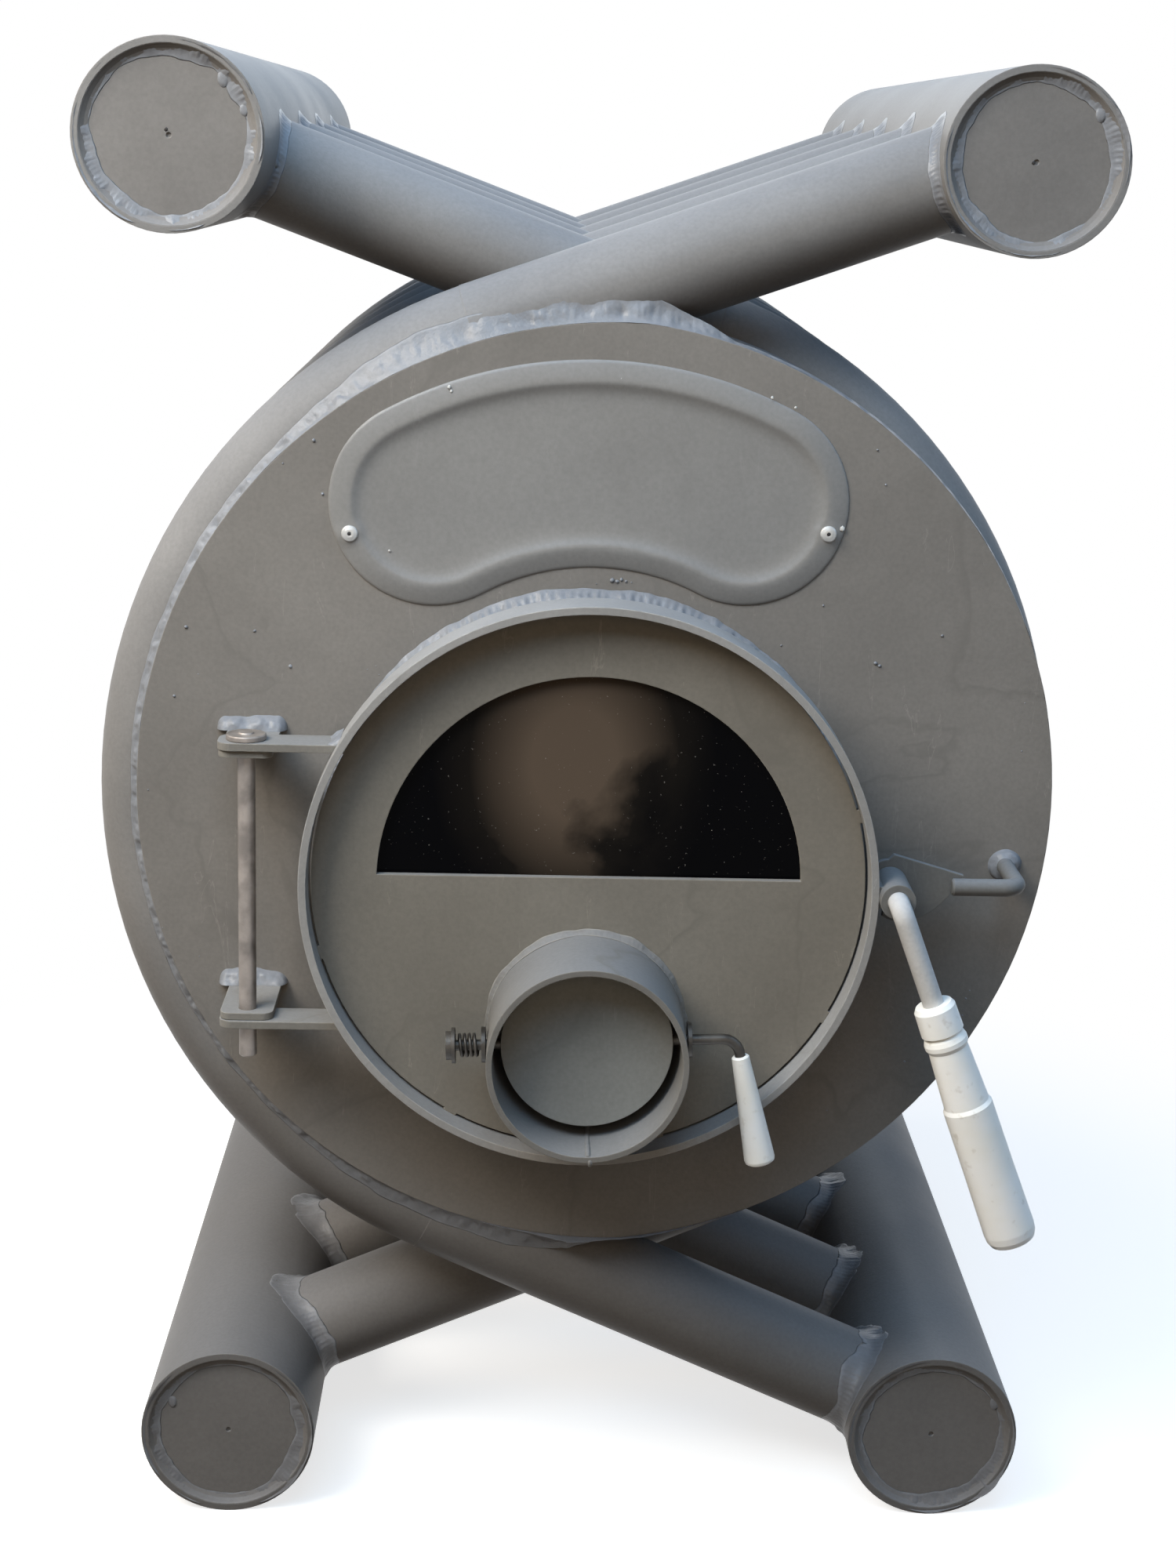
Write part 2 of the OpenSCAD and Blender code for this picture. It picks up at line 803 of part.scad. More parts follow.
module flue_collar() {
  color(paint)
    difference() {
      translate([0, 0, z_flue])
        difference() {
          union() {
            bar_y(flue_r, y_spigot, y_spigot + flue_len);
            bar_y(flue_r + flue_foot, y_spigot, y_foot);
          }
          bar_y(flue_in, y_spigot - 1, y_spigot + flue_len + 1);
        }
      translate([0, y_damper, z_flue])
        bar_x(damper_shaft_d / 2 + run, -flue_r - 5, flue_r + 5);
    }
}

// Round damper in the flue collar, with the usual cut-out that keeps a draught when shut
module damper() {
  r = flue_in - damper_gap;
  y0 = y_damper + damper_shaft_d / 2;
  color(paint)
    translate([0, 0, z_flue])
      sheet_y(y0, y0 + damper_t)
        difference() {
          circle(r = r);
          intersection() {
            translate([0, -r]) circle(r = r * 0.55);
            translate([-r, -2 * r]) square([2 * r, 1.75 * r]);
          }
        }
}

// Shaft of the damper, bent down outside the collar as its handle
module damper_shaft() {
  r = damper_shaft_d / 2;
  bend = 12;
  x_end = flue_r + damper_reach - bend;
  color(bare_steel)
    translate([0, y_damper, z_flue])
      union() {
        bar_x(r, -flue_r - 8, x_end);
        translate([x_end, 0, -bend])
          rotate([90, 0, 0])
            rotate_extrude(angle = 90)
              translate([bend, 0]) circle(r = r);
        translate([x_end + bend, 0, -damper_handle])
          cylinder(r = r, h = damper_handle - bend);
        translate([x_end + bend, 0, -damper_handle]) sphere(r = r);
      }
}

// Ring of the door
module door_ring() {
  color(paint_light)
    translate([0, 0, z_door])
      pipe_y(rim_r, rim_in, y_rim, y_rim_back);
}

// Outline of the half-round window, grown by g
module window_outline(g) {
  intersection() {
    circle(r = window_r + g, $fn = 128);
    translate([-window_r - g - 1, window_low - g])
      square([2 * (window_r + g + 1), window_r + g + 10]);
  }
}

// Door plate set back in the ring and tacked to it
module door_plate() {
  color(paint)
    translate([0, 0, z_door])
      sheet_y(y_disc, y_disc_back)
        difference() {
          union() {
            circle(r = disc_r, $fn = 192);
            intersection() {
              circle(r = rim_in, $fn = 192);
              for (i = [0 : tacks - 1])
                rotate([0, 0, (i + 0.35) * 360 / tacks])
                  translate([disc_r - 3, -4]) square([disc_gap + 6, 8]);
            }
          }
          window_outline(0);
          translate([0, -intake_drop]) circle(r = intake_in);
        }
}

// Rope seal between the door plate and the neck's edge, flattened where the neck presses it
module door_seal() {
  color([0.75, 0.74, 0.7])
    translate([0, y_disc_back, z_door])
      rotate([-90, 0, 0])
        rotate_extrude(convexity = 4)
          translate([seal_r, 0])
            intersection() {
              translate([-seal_w / 2, 0]) square([seal_w, seal_t]);
              translate([0, seal_t / 2]) circle(d = seal_w * 0.98);
            }
}

// Ring behind the door plate that keeps the seal in place
module seal_channel() {
  color(paint)
    translate([0, 0, z_door])
      pipe_y(channel_r, channel_r - channel_wall, y_disc_back, y_disc_back + seal_t);
}

module window_glass() {
  color([0.1, 0.1, 0.11, 0.6])
    translate([0, 0, z_door])
      sheet_y(y_disc_back + glass_gap, y_disc_back + glass_gap + glass_t)
        window_outline(glass_lap);
}

// Frame behind the door plate: a rim round the glass and a flange behind it
module window_frame() {
  y_glass = y_disc_back + 2 * glass_gap + glass_t;
  color(paint)
    translate([0, 0, z_door])
      difference() {
        sheet_y(y_disc_back, y_glass + frame_t) window_outline(glass_lap + frame_w);
        sheet_y(y_disc_back - 1, y_glass) window_outline(glass_lap + glass_gap);
        sheet_y(y_disc_back - 1, y_glass + frame_t + 1) window_outline(0);
      }
}

// Plate behind the intake that turns the air aside, on two flanges
module heat_shield() {
  y1 = y_disc_back + shield_off;
  color(paint)
    translate([0, 0, z_intake])
      union() {
        sheet_y(y1, y1 + shield_t)
          translate([-shield_w / 2, -shield_h / 2]) square([shield_w, shield_h]);
        for (s = [-1, 1])
          translate([s * (shield_w - shield_t) / 2 - shield_t / 2, y_disc_back, -shield_h * 0.3])
            cube([shield_t, shield_off + 0.1, shield_h * 0.6]);
      }
}

// Puts shapes drawn round the X axis on the flap's shaft
module at_shaft() {
  translate([0, y_shaft, z_shaft])
    rotate([0, -shaft_tilt, 0])
      children();
}

module intake_pipe() {
  color(paint_light)
    difference() {
      translate([0, 0, z_intake]) pipe_y(intake_r, intake_in, y_intake, y_disc);
      at_shaft() bar_x(shaft_r + run, -intake_r - 5, intake_r + 5);
    }
}

// Tube on the door ring that guides the latch rod, with its weld saddle
module latch_boss() {
  color(paint)
    translate([0, 0, z_door])
      difference() {
        union() {
          translate([x_boss, 0, 0]) bar_y(boss_od / 2, y_boss, y_rim_back + 1);
          translate([x_boss - boss_od / 2 - 2, y_rim + 1, -boss_od * 0.32])
            cube([boss_od / 2, rim_depth - 2, boss_od * 0.64]);
        }
        translate([x_boss, 0, 0]) bar_y(rod_r + run, y_boss - 5, y_rim_back + 6);
        bar_y(rim_r, y_rim - 20, y_rim_back + 20);
      }
}

// Unit direction of the handle in X and Z
handle_dir = [sin(handle_lean), -cos(handle_lean)];

// Latch rod: through the boss, then bent down to the grip
module latch_rod() {
  color(bare_steel)
    translate([x_boss, 0, z_door])
      union() {
        bar_y(rod_r, y_handle + rod_bend, y_cam + cam_t);
        rotate([0, -handle_lean, 0])
          translate([0, y_handle + rod_bend, -rod_bend])
            rotate([0, 90, 0])
              rotate([0, 0, 180])
                rotate_extrude(angle = 90)
                  translate([rod_bend, 0]) circle(r = rod_r);
        translate([0, y_handle, 0])
          rotate([0, -handle_lean, 0])
            translate([0, 0, -grip_start - grip_len * 0.3])
              cylinder(r = rod_r, h = grip_start + grip_len * 0.3 - rod_bend);
      }
}

// Section of the turned grip: radius, distance from its top
grip_r = grip_d / 2;
function grip_section() = [
  [rod_r + run, 0],
  [grip_r * 0.7, 0],
  [grip_r * 0.8, 2.5],
  [grip_r * 0.82, 17],
  [grip_r * 0.7, 18],
  [grip_r * 0.78, 20],
  [grip_r * 0.84, 22.5],
  [grip_r * 0.84, 25],
  [grip_r * 0.76, 27.5],
  [grip_r * 0.78, 31],
  [grip_r * 0.88, grip_len * 0.41],
  [grip_r * 0.96, grip_len * 0.425],
  [grip_r * 0.97, grip_len * 0.7],
  [grip_r, grip_len - 8],
  [grip_r * 0.97, grip_len - 4],
  [grip_r * 0.88, grip_len - 1],
  [grip_r * 0.7, grip_len],
  [0, grip_len],
  [0, grip_len * 0.3 + 1],
  [rod_r + run, grip_len * 0.3 + 1]
];

module latch_grip() {
  color(white)
    translate([x_boss, y_handle, z_door])
      rotate([0, -handle_lean, 0])
        translate([0, 0, -grip_start])
          mirror([0, 0, 1])
            rotate_extrude()
              polygon(grip_section());
}

// Cam plate on the rod's rear end: its edge draws in from the tip along a spiral
cam_tip_a = 7;
cam_tail_a = -100;
cam_steps = 12;
function cam_edge(a) =
  let (u = (cam_tip_a - a) / (cam_tip_a - cam_tail_a))
  cam_low + (cam_reach - cam_low) * pow(1 - u, 4) - 9 * u * u;

module latch_cam() {
  hub = boss_od / 2 + 4;
  color(paint)
    translate([x_boss, 0, z_door])
      difference() {
        union() {
          sheet_y(y_cam, y_cam + cam_t) circle(r = hub);
          sheet_y(y_cam, y_cam + cam_t)
            polygon(concat(
              [[0, -1], [-2, hub - 1], [2, hub + 3]],
              [for (i = [0 : cam_steps])
                let (a = cam_tip_a + i / cam_steps * (cam_tail_a - cam_tip_a))
                cam_edge(a) * [cos(a), sin(a)]]
            ));
        }
        bar_y(rod_r, y_cam - 1, y_cam + cam_t + 1);
      }
}

// Flap just in front of its shaft
module flap() {
  color(paint_light)
    at_shaft()
      sheet_y(-shaft_r - flap_t, -shaft_r)
        circle(d = flap_d);
}

x_washer = intake_r + shaft_rise * sin(shaft_tilt) + seat;
x_spring = x_washer + washer_t;
x_head = x_spring + spring_len;
head_t = 5.2;
x_lever = x_washer + washer_t + lever_reach - lever_bend;

// Flap shaft: bolt head on the left, lever bent down on the right
module flap_shaft() {
  a = 90 - lever_lean;
  color(bare_steel)
    at_shaft()
      union() {
        bar_x(shaft_r, -x_head - head_t, x_lever);
        bar_x(washer_d / 2, -x_head - 2, -x_head);
        bar_x(washer_d * 0.4, -x_head - head_t, -x_head - 2);
        translate([x_lever, 0, -lever_bend])
          rotate([90, 0, 0])
            rotate([0, 0, 90 - a])
              rotate_extrude(angle = a)
                translate([lever_bend, 0]) circle(r = shaft_r);
        translate([x_lever, 0, -lever_bend])
          rotate([0, -lever_lean, 0])
            translate([lever_bend, 0, -small_grip_len * 0.4])
              cylinder(r = shaft_r, h = small_grip_len * 0.4);
      }
}

// Washers that the shaft turns in, one each side of the pipe
module flap_washers() {
  color(bare_steel)
    at_shaft()
      for (s = [-1, 1])
        mirror([s == 1 ? 0 : 1, 0, 0])
          difference() {
            bar_x(washer_d / 2, x_washer, x_washer + washer_t);
            bar_x(shaft_r, x_washer - 1, x_washer + washer_t + 1);
          }
}

// Compression spring: one wire that leaves each end straight and winds between them
spring_r = (spring_od - spring_wire) / 2;
spring_run = spring_len - 0.2;
spring_lead = spring_wire;
spring_steps = 8 * spring_turns + 8;
// Turned angle at distance x along the spring: none in the leads, even between them
function wound(x) =
  let (u = (x - spring_lead) / (spring_run - 2 * spring_lead))
  360 * spring_turns * min(1, max(0, u));
function spring_x(i) =
  i < 3 ? i * spring_lead / 3
  : i > spring_steps - 3 ? spring_run - (spring_steps - i) * spring_lead / 3
  : spring_lead + (i - 3) / (spring_steps - 6) * (spring_run - 2 * spring_lead);
function spring_at(i) =
  let (x = spring_x(i))
  let (a = wound(x))
  [x, spring_r * cos(a), spring_r * sin(a)];
spring_points = [for (i = [0 : spring_steps]) spring_at(i)];

// Ring of six points round step i of the wire
function wire_ring(i) =
  let (p = spring_points[i])
  let (d = spring_points[min(i + 1, spring_steps)] - spring_points[max(i - 1, 0)])
  let (t = i == 0 || i == spring_steps ? [1, 0, 0] : d / norm(d))
  let (a = wound(spring_x(i)))
  let (e = [0, cos(a), sin(a)])
  let (f = cross(t, e))
  let (g = f / norm(f))
  let (h = cross(g, t))
  [for (k = [0 : 5]) p + spring_wire / 2 * (cos(60 * k) * h + sin(60 * k) * g)];

// Least distance between two places on the wire more than half a turn apart
spring_self_gap = min([
  for (i = [0 : spring_steps - 5])
    for (j = [i + 5 : spring_steps])
      norm(spring_points[i] - spring_points[j])
]) - spring_wire;
echo(spring_self_gap = spring_self_gap);

module flap_spring() {
  n = spring_steps + 1;
  points = [for (i = [0 : spring_steps]) each wire_ring(i)];
  sides = [
    for (i = [0 : spring_steps - 1])
      for (k = [0 : 5])
        let (a = i * 6 + k)
        let (b = i * 6 + (k + 1) % 6)
        each [[a, a + 6, b + 6], [a, b + 6, b]]
  ];
  ends = [
    for (k = [1 : 4])
      each [[0, k, k + 1], [(n - 1) * 6, (n - 1) * 6 + k + 1, (n - 1) * 6 + k]]
  ];
  color(bare_steel)
    at_shaft()
      translate([0.1 - x_head, 0, 0])
        polyhedron(points = points, faces = concat(sides, ends), convexity = 8);
}

// Tapered grip on the flap's lever
module flap_grip() {
  r0 = small_grip_top / 2;
  r1 = small_grip_end / 2;
  len = small_grip_len;
  color(white)
    at_shaft()
      translate([x_lever, 0, -lever_bend])
        rotate([0, -lever_lean, 0])
          translate([lever_bend, 0, -2])
            mirror([0, 0, 1])
              rotate_extrude()
                polygon([
                  [shaft_r + run, 0],
                  [r0 - 0.8, 0],
                  [r0, 0.8],
                  [r1 - 0.2, len - 2.5],
                  [r1 - 0.6, len - 1],
                  [r1 - 2, len],
                  [0, len],
                  [0, len * 0.4],
                  [shaft_r + run, len * 0.4]
                ]);
}

module tube_1() { tube(1); }
module tube_2() { tube(2); }
module tube_3() { tube(3); }
module tube_4() { tube(4); }
module tube_5() { tube(5); }
module tube_6() { tube(6); }
module tube_7() { tube(7); }
module tube_8() { tube(8); }
module tube_9() { tube(9); }
module collector_upper_left() { collector(-1, true); }
module collector_upper_right() { collector(1, true); }
module collector_lower_left() { collector(-1, false); }
module collector_lower_right() { collector(1, false); }
module cap_upper_left() { cap(-1, true); }
module cap_upper_right() { cap(1, true); }
module cap_lower_left() { cap(-1, false); }
module cap_lower_right() { cap(1, false); }

tube_1();
tube_2();
tube_3();
tube_4();
tube_5();
tube_6();
tube_7();
tube_8();
tube_9();
wall_strips_left();
wall_strips_right();
front_plate();
back_plate();
baffle();
collector_upper_left();
collector_upper_right();
collector_lower_left();
collector_lower_right();
cap_upper_left();
cap_upper_right();
cap_lower_left();
cap_lower_right();
door_neck();
hinge_lug_upper();
hinge_lug_lower();
hinge_pin();
catch_hook();
name_plate();
name_plate_rivets();
flue_collar();
door_ring();
door_plate();
door_seal();
seal_channel();
window_glass();
window_frame();
heat_shield();
intake_pipe();
hinge_arm_upper();
hinge_arm_lower();
latch_boss();
latch_rod();
latch_cam();
latch_grip();
flap();
flap_shaft();
flap_spring();
flap_washers();
flap_grip();
damper();
damper_shaft();
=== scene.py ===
import math
import random

import bmesh
import bpy
from mathutils import Matrix, Vector, noise


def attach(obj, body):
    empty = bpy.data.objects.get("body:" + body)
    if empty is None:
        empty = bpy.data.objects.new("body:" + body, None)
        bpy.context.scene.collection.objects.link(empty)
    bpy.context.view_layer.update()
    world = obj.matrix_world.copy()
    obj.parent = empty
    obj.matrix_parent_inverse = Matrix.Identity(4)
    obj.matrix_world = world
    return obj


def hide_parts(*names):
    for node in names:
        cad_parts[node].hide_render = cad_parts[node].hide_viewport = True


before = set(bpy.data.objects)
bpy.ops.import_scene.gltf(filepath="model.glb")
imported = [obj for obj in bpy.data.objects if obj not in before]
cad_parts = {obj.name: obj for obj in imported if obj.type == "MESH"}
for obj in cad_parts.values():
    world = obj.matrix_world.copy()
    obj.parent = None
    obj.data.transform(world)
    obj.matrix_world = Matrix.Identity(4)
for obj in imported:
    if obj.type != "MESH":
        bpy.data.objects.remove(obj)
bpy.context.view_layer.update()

# ---------------------------------------------------------------- camera and studio
# The stove stands on a pale floor, seen from a little above. Soft cool light comes from above, from
# high in front and from the right, and warmer light from the left. A weak warm fill comes from the
# front and a weak light from behind.

scene = bpy.context.scene
scene.view_settings.view_transform = "Standard"

yaw, pitch, roll = 0.04972, 0.22772, -0.03156
ahead = Vector((math.sin(yaw) * math.cos(pitch), math.cos(yaw) * math.cos(pitch), -math.sin(pitch)))
level = Vector((math.cos(yaw), -math.sin(yaw), 0))
down = ahead.cross(level)
right = math.cos(roll) * level + math.sin(roll) * down
below = math.cos(roll) * down - math.sin(roll) * level
lens = bpy.data.cameras.new("camera")
lens.sensor_fit, lens.sensor_width, lens.lens = "HORIZONTAL", 36.0, 76.811
lens.shift_x, lens.shift_y = -0.05287, -0.04945
camera = bpy.data.objects.new("camera", lens)
camera.matrix_world = Matrix.Translation((-0.036148, -1.671322, 0.828185)) @ Matrix(
    (right, -below, -ahead)).transposed().to_4x4()
scene.collection.objects.link(camera)
scene.camera = camera


def nodes_of(material):
    """Clears a material's nodes and returns what makes and links new ones."""
    material.use_nodes = True
    tree = material.node_tree
    tree.nodes.clear()

    def node(kind, links=(), **values):
        made = tree.nodes.new("ShaderNode" + kind)
        for name, value in values.items():
            setattr(made, name, value)
        for socket, source in dict(links).items():
            if isinstance(source, bpy.types.NodeSocket):
                tree.links.new(source, made.inputs[socket])
            else:
                made.inputs[socket].default_value = source
        return made

    return node


world = bpy.data.worlds.new("studio")
scene.world = world
node = nodes_of(world)


def background_rays(node):
    """1 for the rays that should meet the white background, 0 for those that carry the light."""
    rays = node("LightPath").outputs
    seen = rays["Is Camera Ray"]
    for kind in ("Is Transmission Ray", "Is Glossy Ray"):
        seen = node("Math", {0: seen, 1: rays[kind]}, operation="MAXIMUM").outputs[0]
    return seen


seen = background_rays(node)
height = node("SeparateXYZ", {0: node("TexCoord").outputs["Generated"]}).outputs["Z"]
sky = node("ValToRGB", {"Fac": node("MapRange", {0: height, 1: -1.0, 2: 1.0}).outputs[0]})
stops = sky.color_ramp.elements
for stop, (place, tone) in zip(stops, ((0.0, (0.03, 0.025, 0.02, 1)), (0.55, (0.03, 0.027, 0.024, 1)))):
    stop.position, stop.color = place, tone
stops.new(1.0).color = (0.10, 0.12, 0.15, 1)
studio_light = node("Background", {"Color": sky.outputs[0], "Strength": 1.0}).outputs[0]
white = node("Background", {"Color": (1, 1, 1, 1), "Strength": 1.0}).outputs[0]
node("OutputWorld", {"Surface": node("MixShader", {0: seen, 1: studio_light, 2: white}).outputs[0]})


def softbox(name, stand, size, power, tone, aim=0.42):
    """A square area lamp of that width, which stands there and faces the stove's middle at the height aim."""
    lamp = bpy.data.lights.new(name, "AREA")
    lamp.shape, lamp.size, lamp.size_y = "RECTANGLE", size, size
    lamp.energy, lamp.color = power, tone
    box = bpy.data.objects.new(name, lamp)
    box.location = stand
    box.rotation_euler = (Vector((0, 0, aim)) - Vector(stand)).to_track_quat("-Z", "Y").to_euler()
    scene.collection.objects.link(box)


softbox("overhead", (0.4, 0.2, 2.6), 1.6, 11, (0.28, 0.60, 1.0))
softbox("front_sky", (-0.3, -1.6, 2.3), 1.4, 27, (0.50, 0.74, 1.0))
softbox("key", (-0.95, -0.95, 1.6), 0.8, 29, (1.0, 0.94, 0.85))
softbox("left_sky", (-2.2, -0.3, 1.9), 1.2, 18, (1.0, 0.86, 0.68), aim=0.46)
softbox("right_sky", (2.1, -0.5, 1.9), 1.4, 15, (0.28, 0.60, 1.0))
softbox("back_sky", (0.2, 2.4, 1.2), 1.4, 7, (0.85, 0.93, 1.0))
softbox("fill", (0, -2.6, 1.0), 1.4, 7, (1.0, 0.74, 0.46))

# The floor is pale and keeps the stove's soft shadow, and turns to plain white away from it.
# To the light it is as dim and warm as bare ground, so the stove's undersides stay dark.
mesh = bpy.data.meshes.new("floor")
form = bmesh.new()
bmesh.ops.create_grid(form, x_segments=1, y_segments=1, size=8.0)
form.to_mesh(mesh)
form.free()
floor = bpy.data.objects.new("floor", mesh)
scene.collection.objects.link(floor)
floor_paint = bpy.data.materials.new("floor")
node = nodes_of(floor_paint)
away = node("VectorMath", {0: node("TexCoord").outputs["Object"]}, operation="LENGTH").outputs["Value"]
fade = node("MapRange", {0: away, 1: 0.45, 2: 0.85}, interpolation_type="SMOOTHSTEP").outputs[0]
lit = node("BsdfDiffuse", {"Color": (0.60, 0.60, 0.60, 1)}).outputs[0]
glow = node("Emission", {"Color": (1, 1, 1, 1), "Strength": 0.72}).outputs[0]
pale = node("AddShader", {0: lit, 1: glow}).outputs[0]
white = node("Emission", {"Color": (1, 1, 1, 1), "Strength": 1.0}).outputs[0]
shown = node("MixShader", {0: fade, 1: pale, 2: white}).outputs[0]
ground = node("BsdfDiffuse", {"Color": (0.08, 0.066, 0.052, 1)}).outputs[0]
floor_shader = node("MixShader", {0: background_rays(node), 1: ground, 2: shown}).outputs[0]
node("OutputMaterial", {"Surface": floor_shader})
mesh.materials.append(floor_paint)

# ---------------------------------------------------------------- tubes, wall strips and collectors
# Nine bent steel tubes and four collector pipes carry the air, with sheet strips between the tubes.
# All of it is sprayed after welding in one grey-taupe satin enamel, thin and a little clouded.


def srgb(r, g, b):
    """A colour written 0 to 255, as the shader wants it."""
    return tuple(((v / 255 + 0.055) / 1.055) ** 2.4 if v > 10 else v / 3295 for v in (r, g, b)) + (1.0,)


def ramp(node, source, *stops):
    """A colour ramp through (place, colour or grey) stops."""
    made = node("ValToRGB", {"Fac": source})
    band = made.color_ramp
    while len(band.elements) < len(stops):
        band.elements.new(1.0)
    for element, (spot, tone) in zip(band.elements, stops):
        element.position = spot
        element.color = tone if isinstance(tone, tuple) else (tone, tone, tone, 1.0)
    return made.outputs[0]


def tinted(base, factor):
    """A colour made lighter or darker."""
    return tuple(min(1.0, v * factor) for v in base[:3]) + (1.0,)


def blend(node, share, under, over, mode="MIX"):
    """One colour laid over another by a share from 0 to 1."""
    return node("Mix", {0: share, 6: under, 7: over}, data_type="RGBA", blend_type=mode).outputs[2]


# Painted light: a pale blue tone is painted sky light on faces that look up, a dark brown one is painted shade
# on faces that look down, and a dark grey-brown one is painted shade low down.
SKY_LIGHT_TINT, UNDERSIDE_SHADE, LOW_SHADE_TONE = srgb(158, 167, 182), srgb(78, 68, 58), srgb(78, 72, 67)


def paint(name, base, rough=0.44, cloud=0.09, grain=1.0, edge=0.0008, worn=0.5, marks=0.0, low_shade=0.0,
          sheen=0.09):
    """The satin enamel. base is its colour, cloud how uneven the coat is, grain how rough it feels, edge
    the radius that its corners show, worn how far they are rubbed pale, marks how much it is smudged,
    low_shade how far its lower parts are darkened and browned as painted shade, and sheen how strongly it
    mirrors. Painted sky light makes the faces that look up lighter and bluer, and painted shade darkens
    those that look down."""
    made = bpy.data.materials.new(name)
    node = nodes_of(made)
    spot = node("TexCoord").outputs["Object"]
    clouds = node("TexNoise", {"Vector": spot, "Scale": 9.0, "Detail": 4.0, "Roughness": 0.6}).outputs[0]
    dust = node("TexNoise", {"Vector": spot, "Scale": 420.0, "Detail": 3.0}).outputs[0]
    colour = ramp(node, clouds, (0.3, tinted(base, 1 - 1.5 * cloud)), (0.7, tinted(base, 1 + 1.5 * cloud)))
    # Painted light: faces that look up are made lighter and bluer as painted sky light, and faces that look
    # down are made darker as painted shade.
    up = node("SeparateXYZ", {0: node("TexCoord").outputs["Normal"]}).outputs["Z"]
    up = node("MapRange", {0: up, 1: -1.0, 2: 1.0}).outputs[0]
    sky_lit_share = ramp(node, up, (0.52, 0.0), (0.95, 0.20))
    colour = blend(node, sky_lit_share, colour, SKY_LIGHT_TINT)
    colour = blend(node, ramp(node, up, (0.08, 0.62), (0.48, 0.0)), colour, UNDERSIDE_SHADE)
    # Painted shade: the lower parts are darkened and browned, more strongly towards the bottom.
    if low_shade:
        height = node("SeparateXYZ", {0: spot}).outputs["Z"]
        low_shade_share = ramp(node, height, (0.04, low_shade), (0.30, 0.0))
        colour = blend(node, low_shade_share, colour, LOW_SHADE_TONE)
    colour = blend(node, 0.45, colour, ramp(node, dust, (0.30, 0.88), (0.5, 1.0), (0.72, 1.12)), "MULTIPLY")
    if marks:
        smear = node("TexNoise", {"Vector": spot, "Scale": 5.0, "Detail": 5.0, "Distortion": 0.8}).outputs[0]
        ring = ramp(node, smear, (0.485, 0.0), (0.495, 0.55 * marks), (0.515, 0.0))
        colour = blend(node, ring, colour, tinted(base, 0.82))
        drawn = node("Mapping", {0: spot, "Scale": (60, 60, 9)}).outputs[0]
        hairs = node("TexNoise", {"Vector": drawn, "Scale": 1.0, "Detail": 6.0, "Distortion": 2.0}).outputs[0]
        scratch = ramp(node, hairs, (0.660, 0.0), (0.668, 0.5 * marks), (0.676, 0.0))
        colour = blend(node, scratch, colour, tinted(base, 1.5))
    rounded = node("Bevel", {"Radius": edge}, samples=6).outputs[0]
    if worn:
        facing = {0: node("Bevel", {"Radius": 0.0011}, samples=4).outputs[0],
                  1: node("NewGeometry").outputs["Normal"]}
        flat = node("VectorMath", facing, operation="DOT_PRODUCT").outputs["Value"]
        chips = node("TexNoise", {"Vector": spot, "Scale": 110.0, "Detail": 3.0}).outputs[0]
        patchy = {0: ramp(node, flat, (0.80, worn), (0.985, 0.0)),
                  1: ramp(node, chips, (0.38, 0.25), (0.6, 1.0))}
        rub = node("Math", patchy, operation="MULTIPLY").outputs[0]
        colour = blend(node, rub, colour, tinted(base, 1.75))
    peel = node("TexNoise", {"Vector": spot, "Scale": 700.0, "Detail": 2.0}).outputs[0]
    waves = node("TexNoise", {"Vector": spot, "Scale": 60.0, "Detail": 3.0}).outputs[0]
    skin = rounded
    for bumps, strength, depth in ((waves, 0.05, 0.004), (peel, 0.15, 0.0006)):
        skin = node("Bump", {"Height": bumps, "Strength": strength * grain, "Distance": depth,
                             "Normal": skin}).outputs[0]
    gloss = ramp(node, clouds, (0.3, rough - 0.05), (0.7, rough + 0.07))
    shader = node("BsdfPrincipled", {"Base Color": colour, "Roughness": gloss, "Normal": skin})
    shader.inputs["Specular IOR Level"].default_value = sheen
    node("OutputMaterial", {"Surface": shader.outputs[0]})
    return made


def dress(material, *names):
    """Gives CAD nodes this material in every slot."""
    for name in names:
        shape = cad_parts[name].data
        shape.materials.clear()
        shape.materials.append(material)


tube_paint = paint("tube_paint", srgb(128, 126, 124), low_shade=0.5)
dress(tube_paint, *[f"tube_{i}" for i in range(1, 10)], "wall_strips_left", "wall_strips_right", "baffle",
      *[f"collector_{v}_{h}" for v in ("upper", "lower") for h in ("left", "right")], "flue_collar", "damper")

# ---------------------------------------------------------------- welds of the tubes and collectors
# Each air tube is welded all round where its ends are coped into the collectors. The welds are
# hand-laid, hollow and ragged, heavier at the foot, and painted over with everything else.

# The weld paint's slightly bluer grey than the tubes' is painted sky light.
weld_paint = paint("weld_paint", srgb(125, 127, 131), rough=0.32, cloud=0.12, grain=2.0, edge=0.0003,
                   worn=0.25, low_shade=0.5, sheen=0.25)
Z_DOOR = 0.4195


def wobble(at, fineness, seed=0.0):
    """Smooth noise from about -1 to 1, the same each run."""
    return 1.8 * noise.noise(Vector(at) * fineness + Vector((seed * 3.7, seed * 1.3, seed * 7.9)))


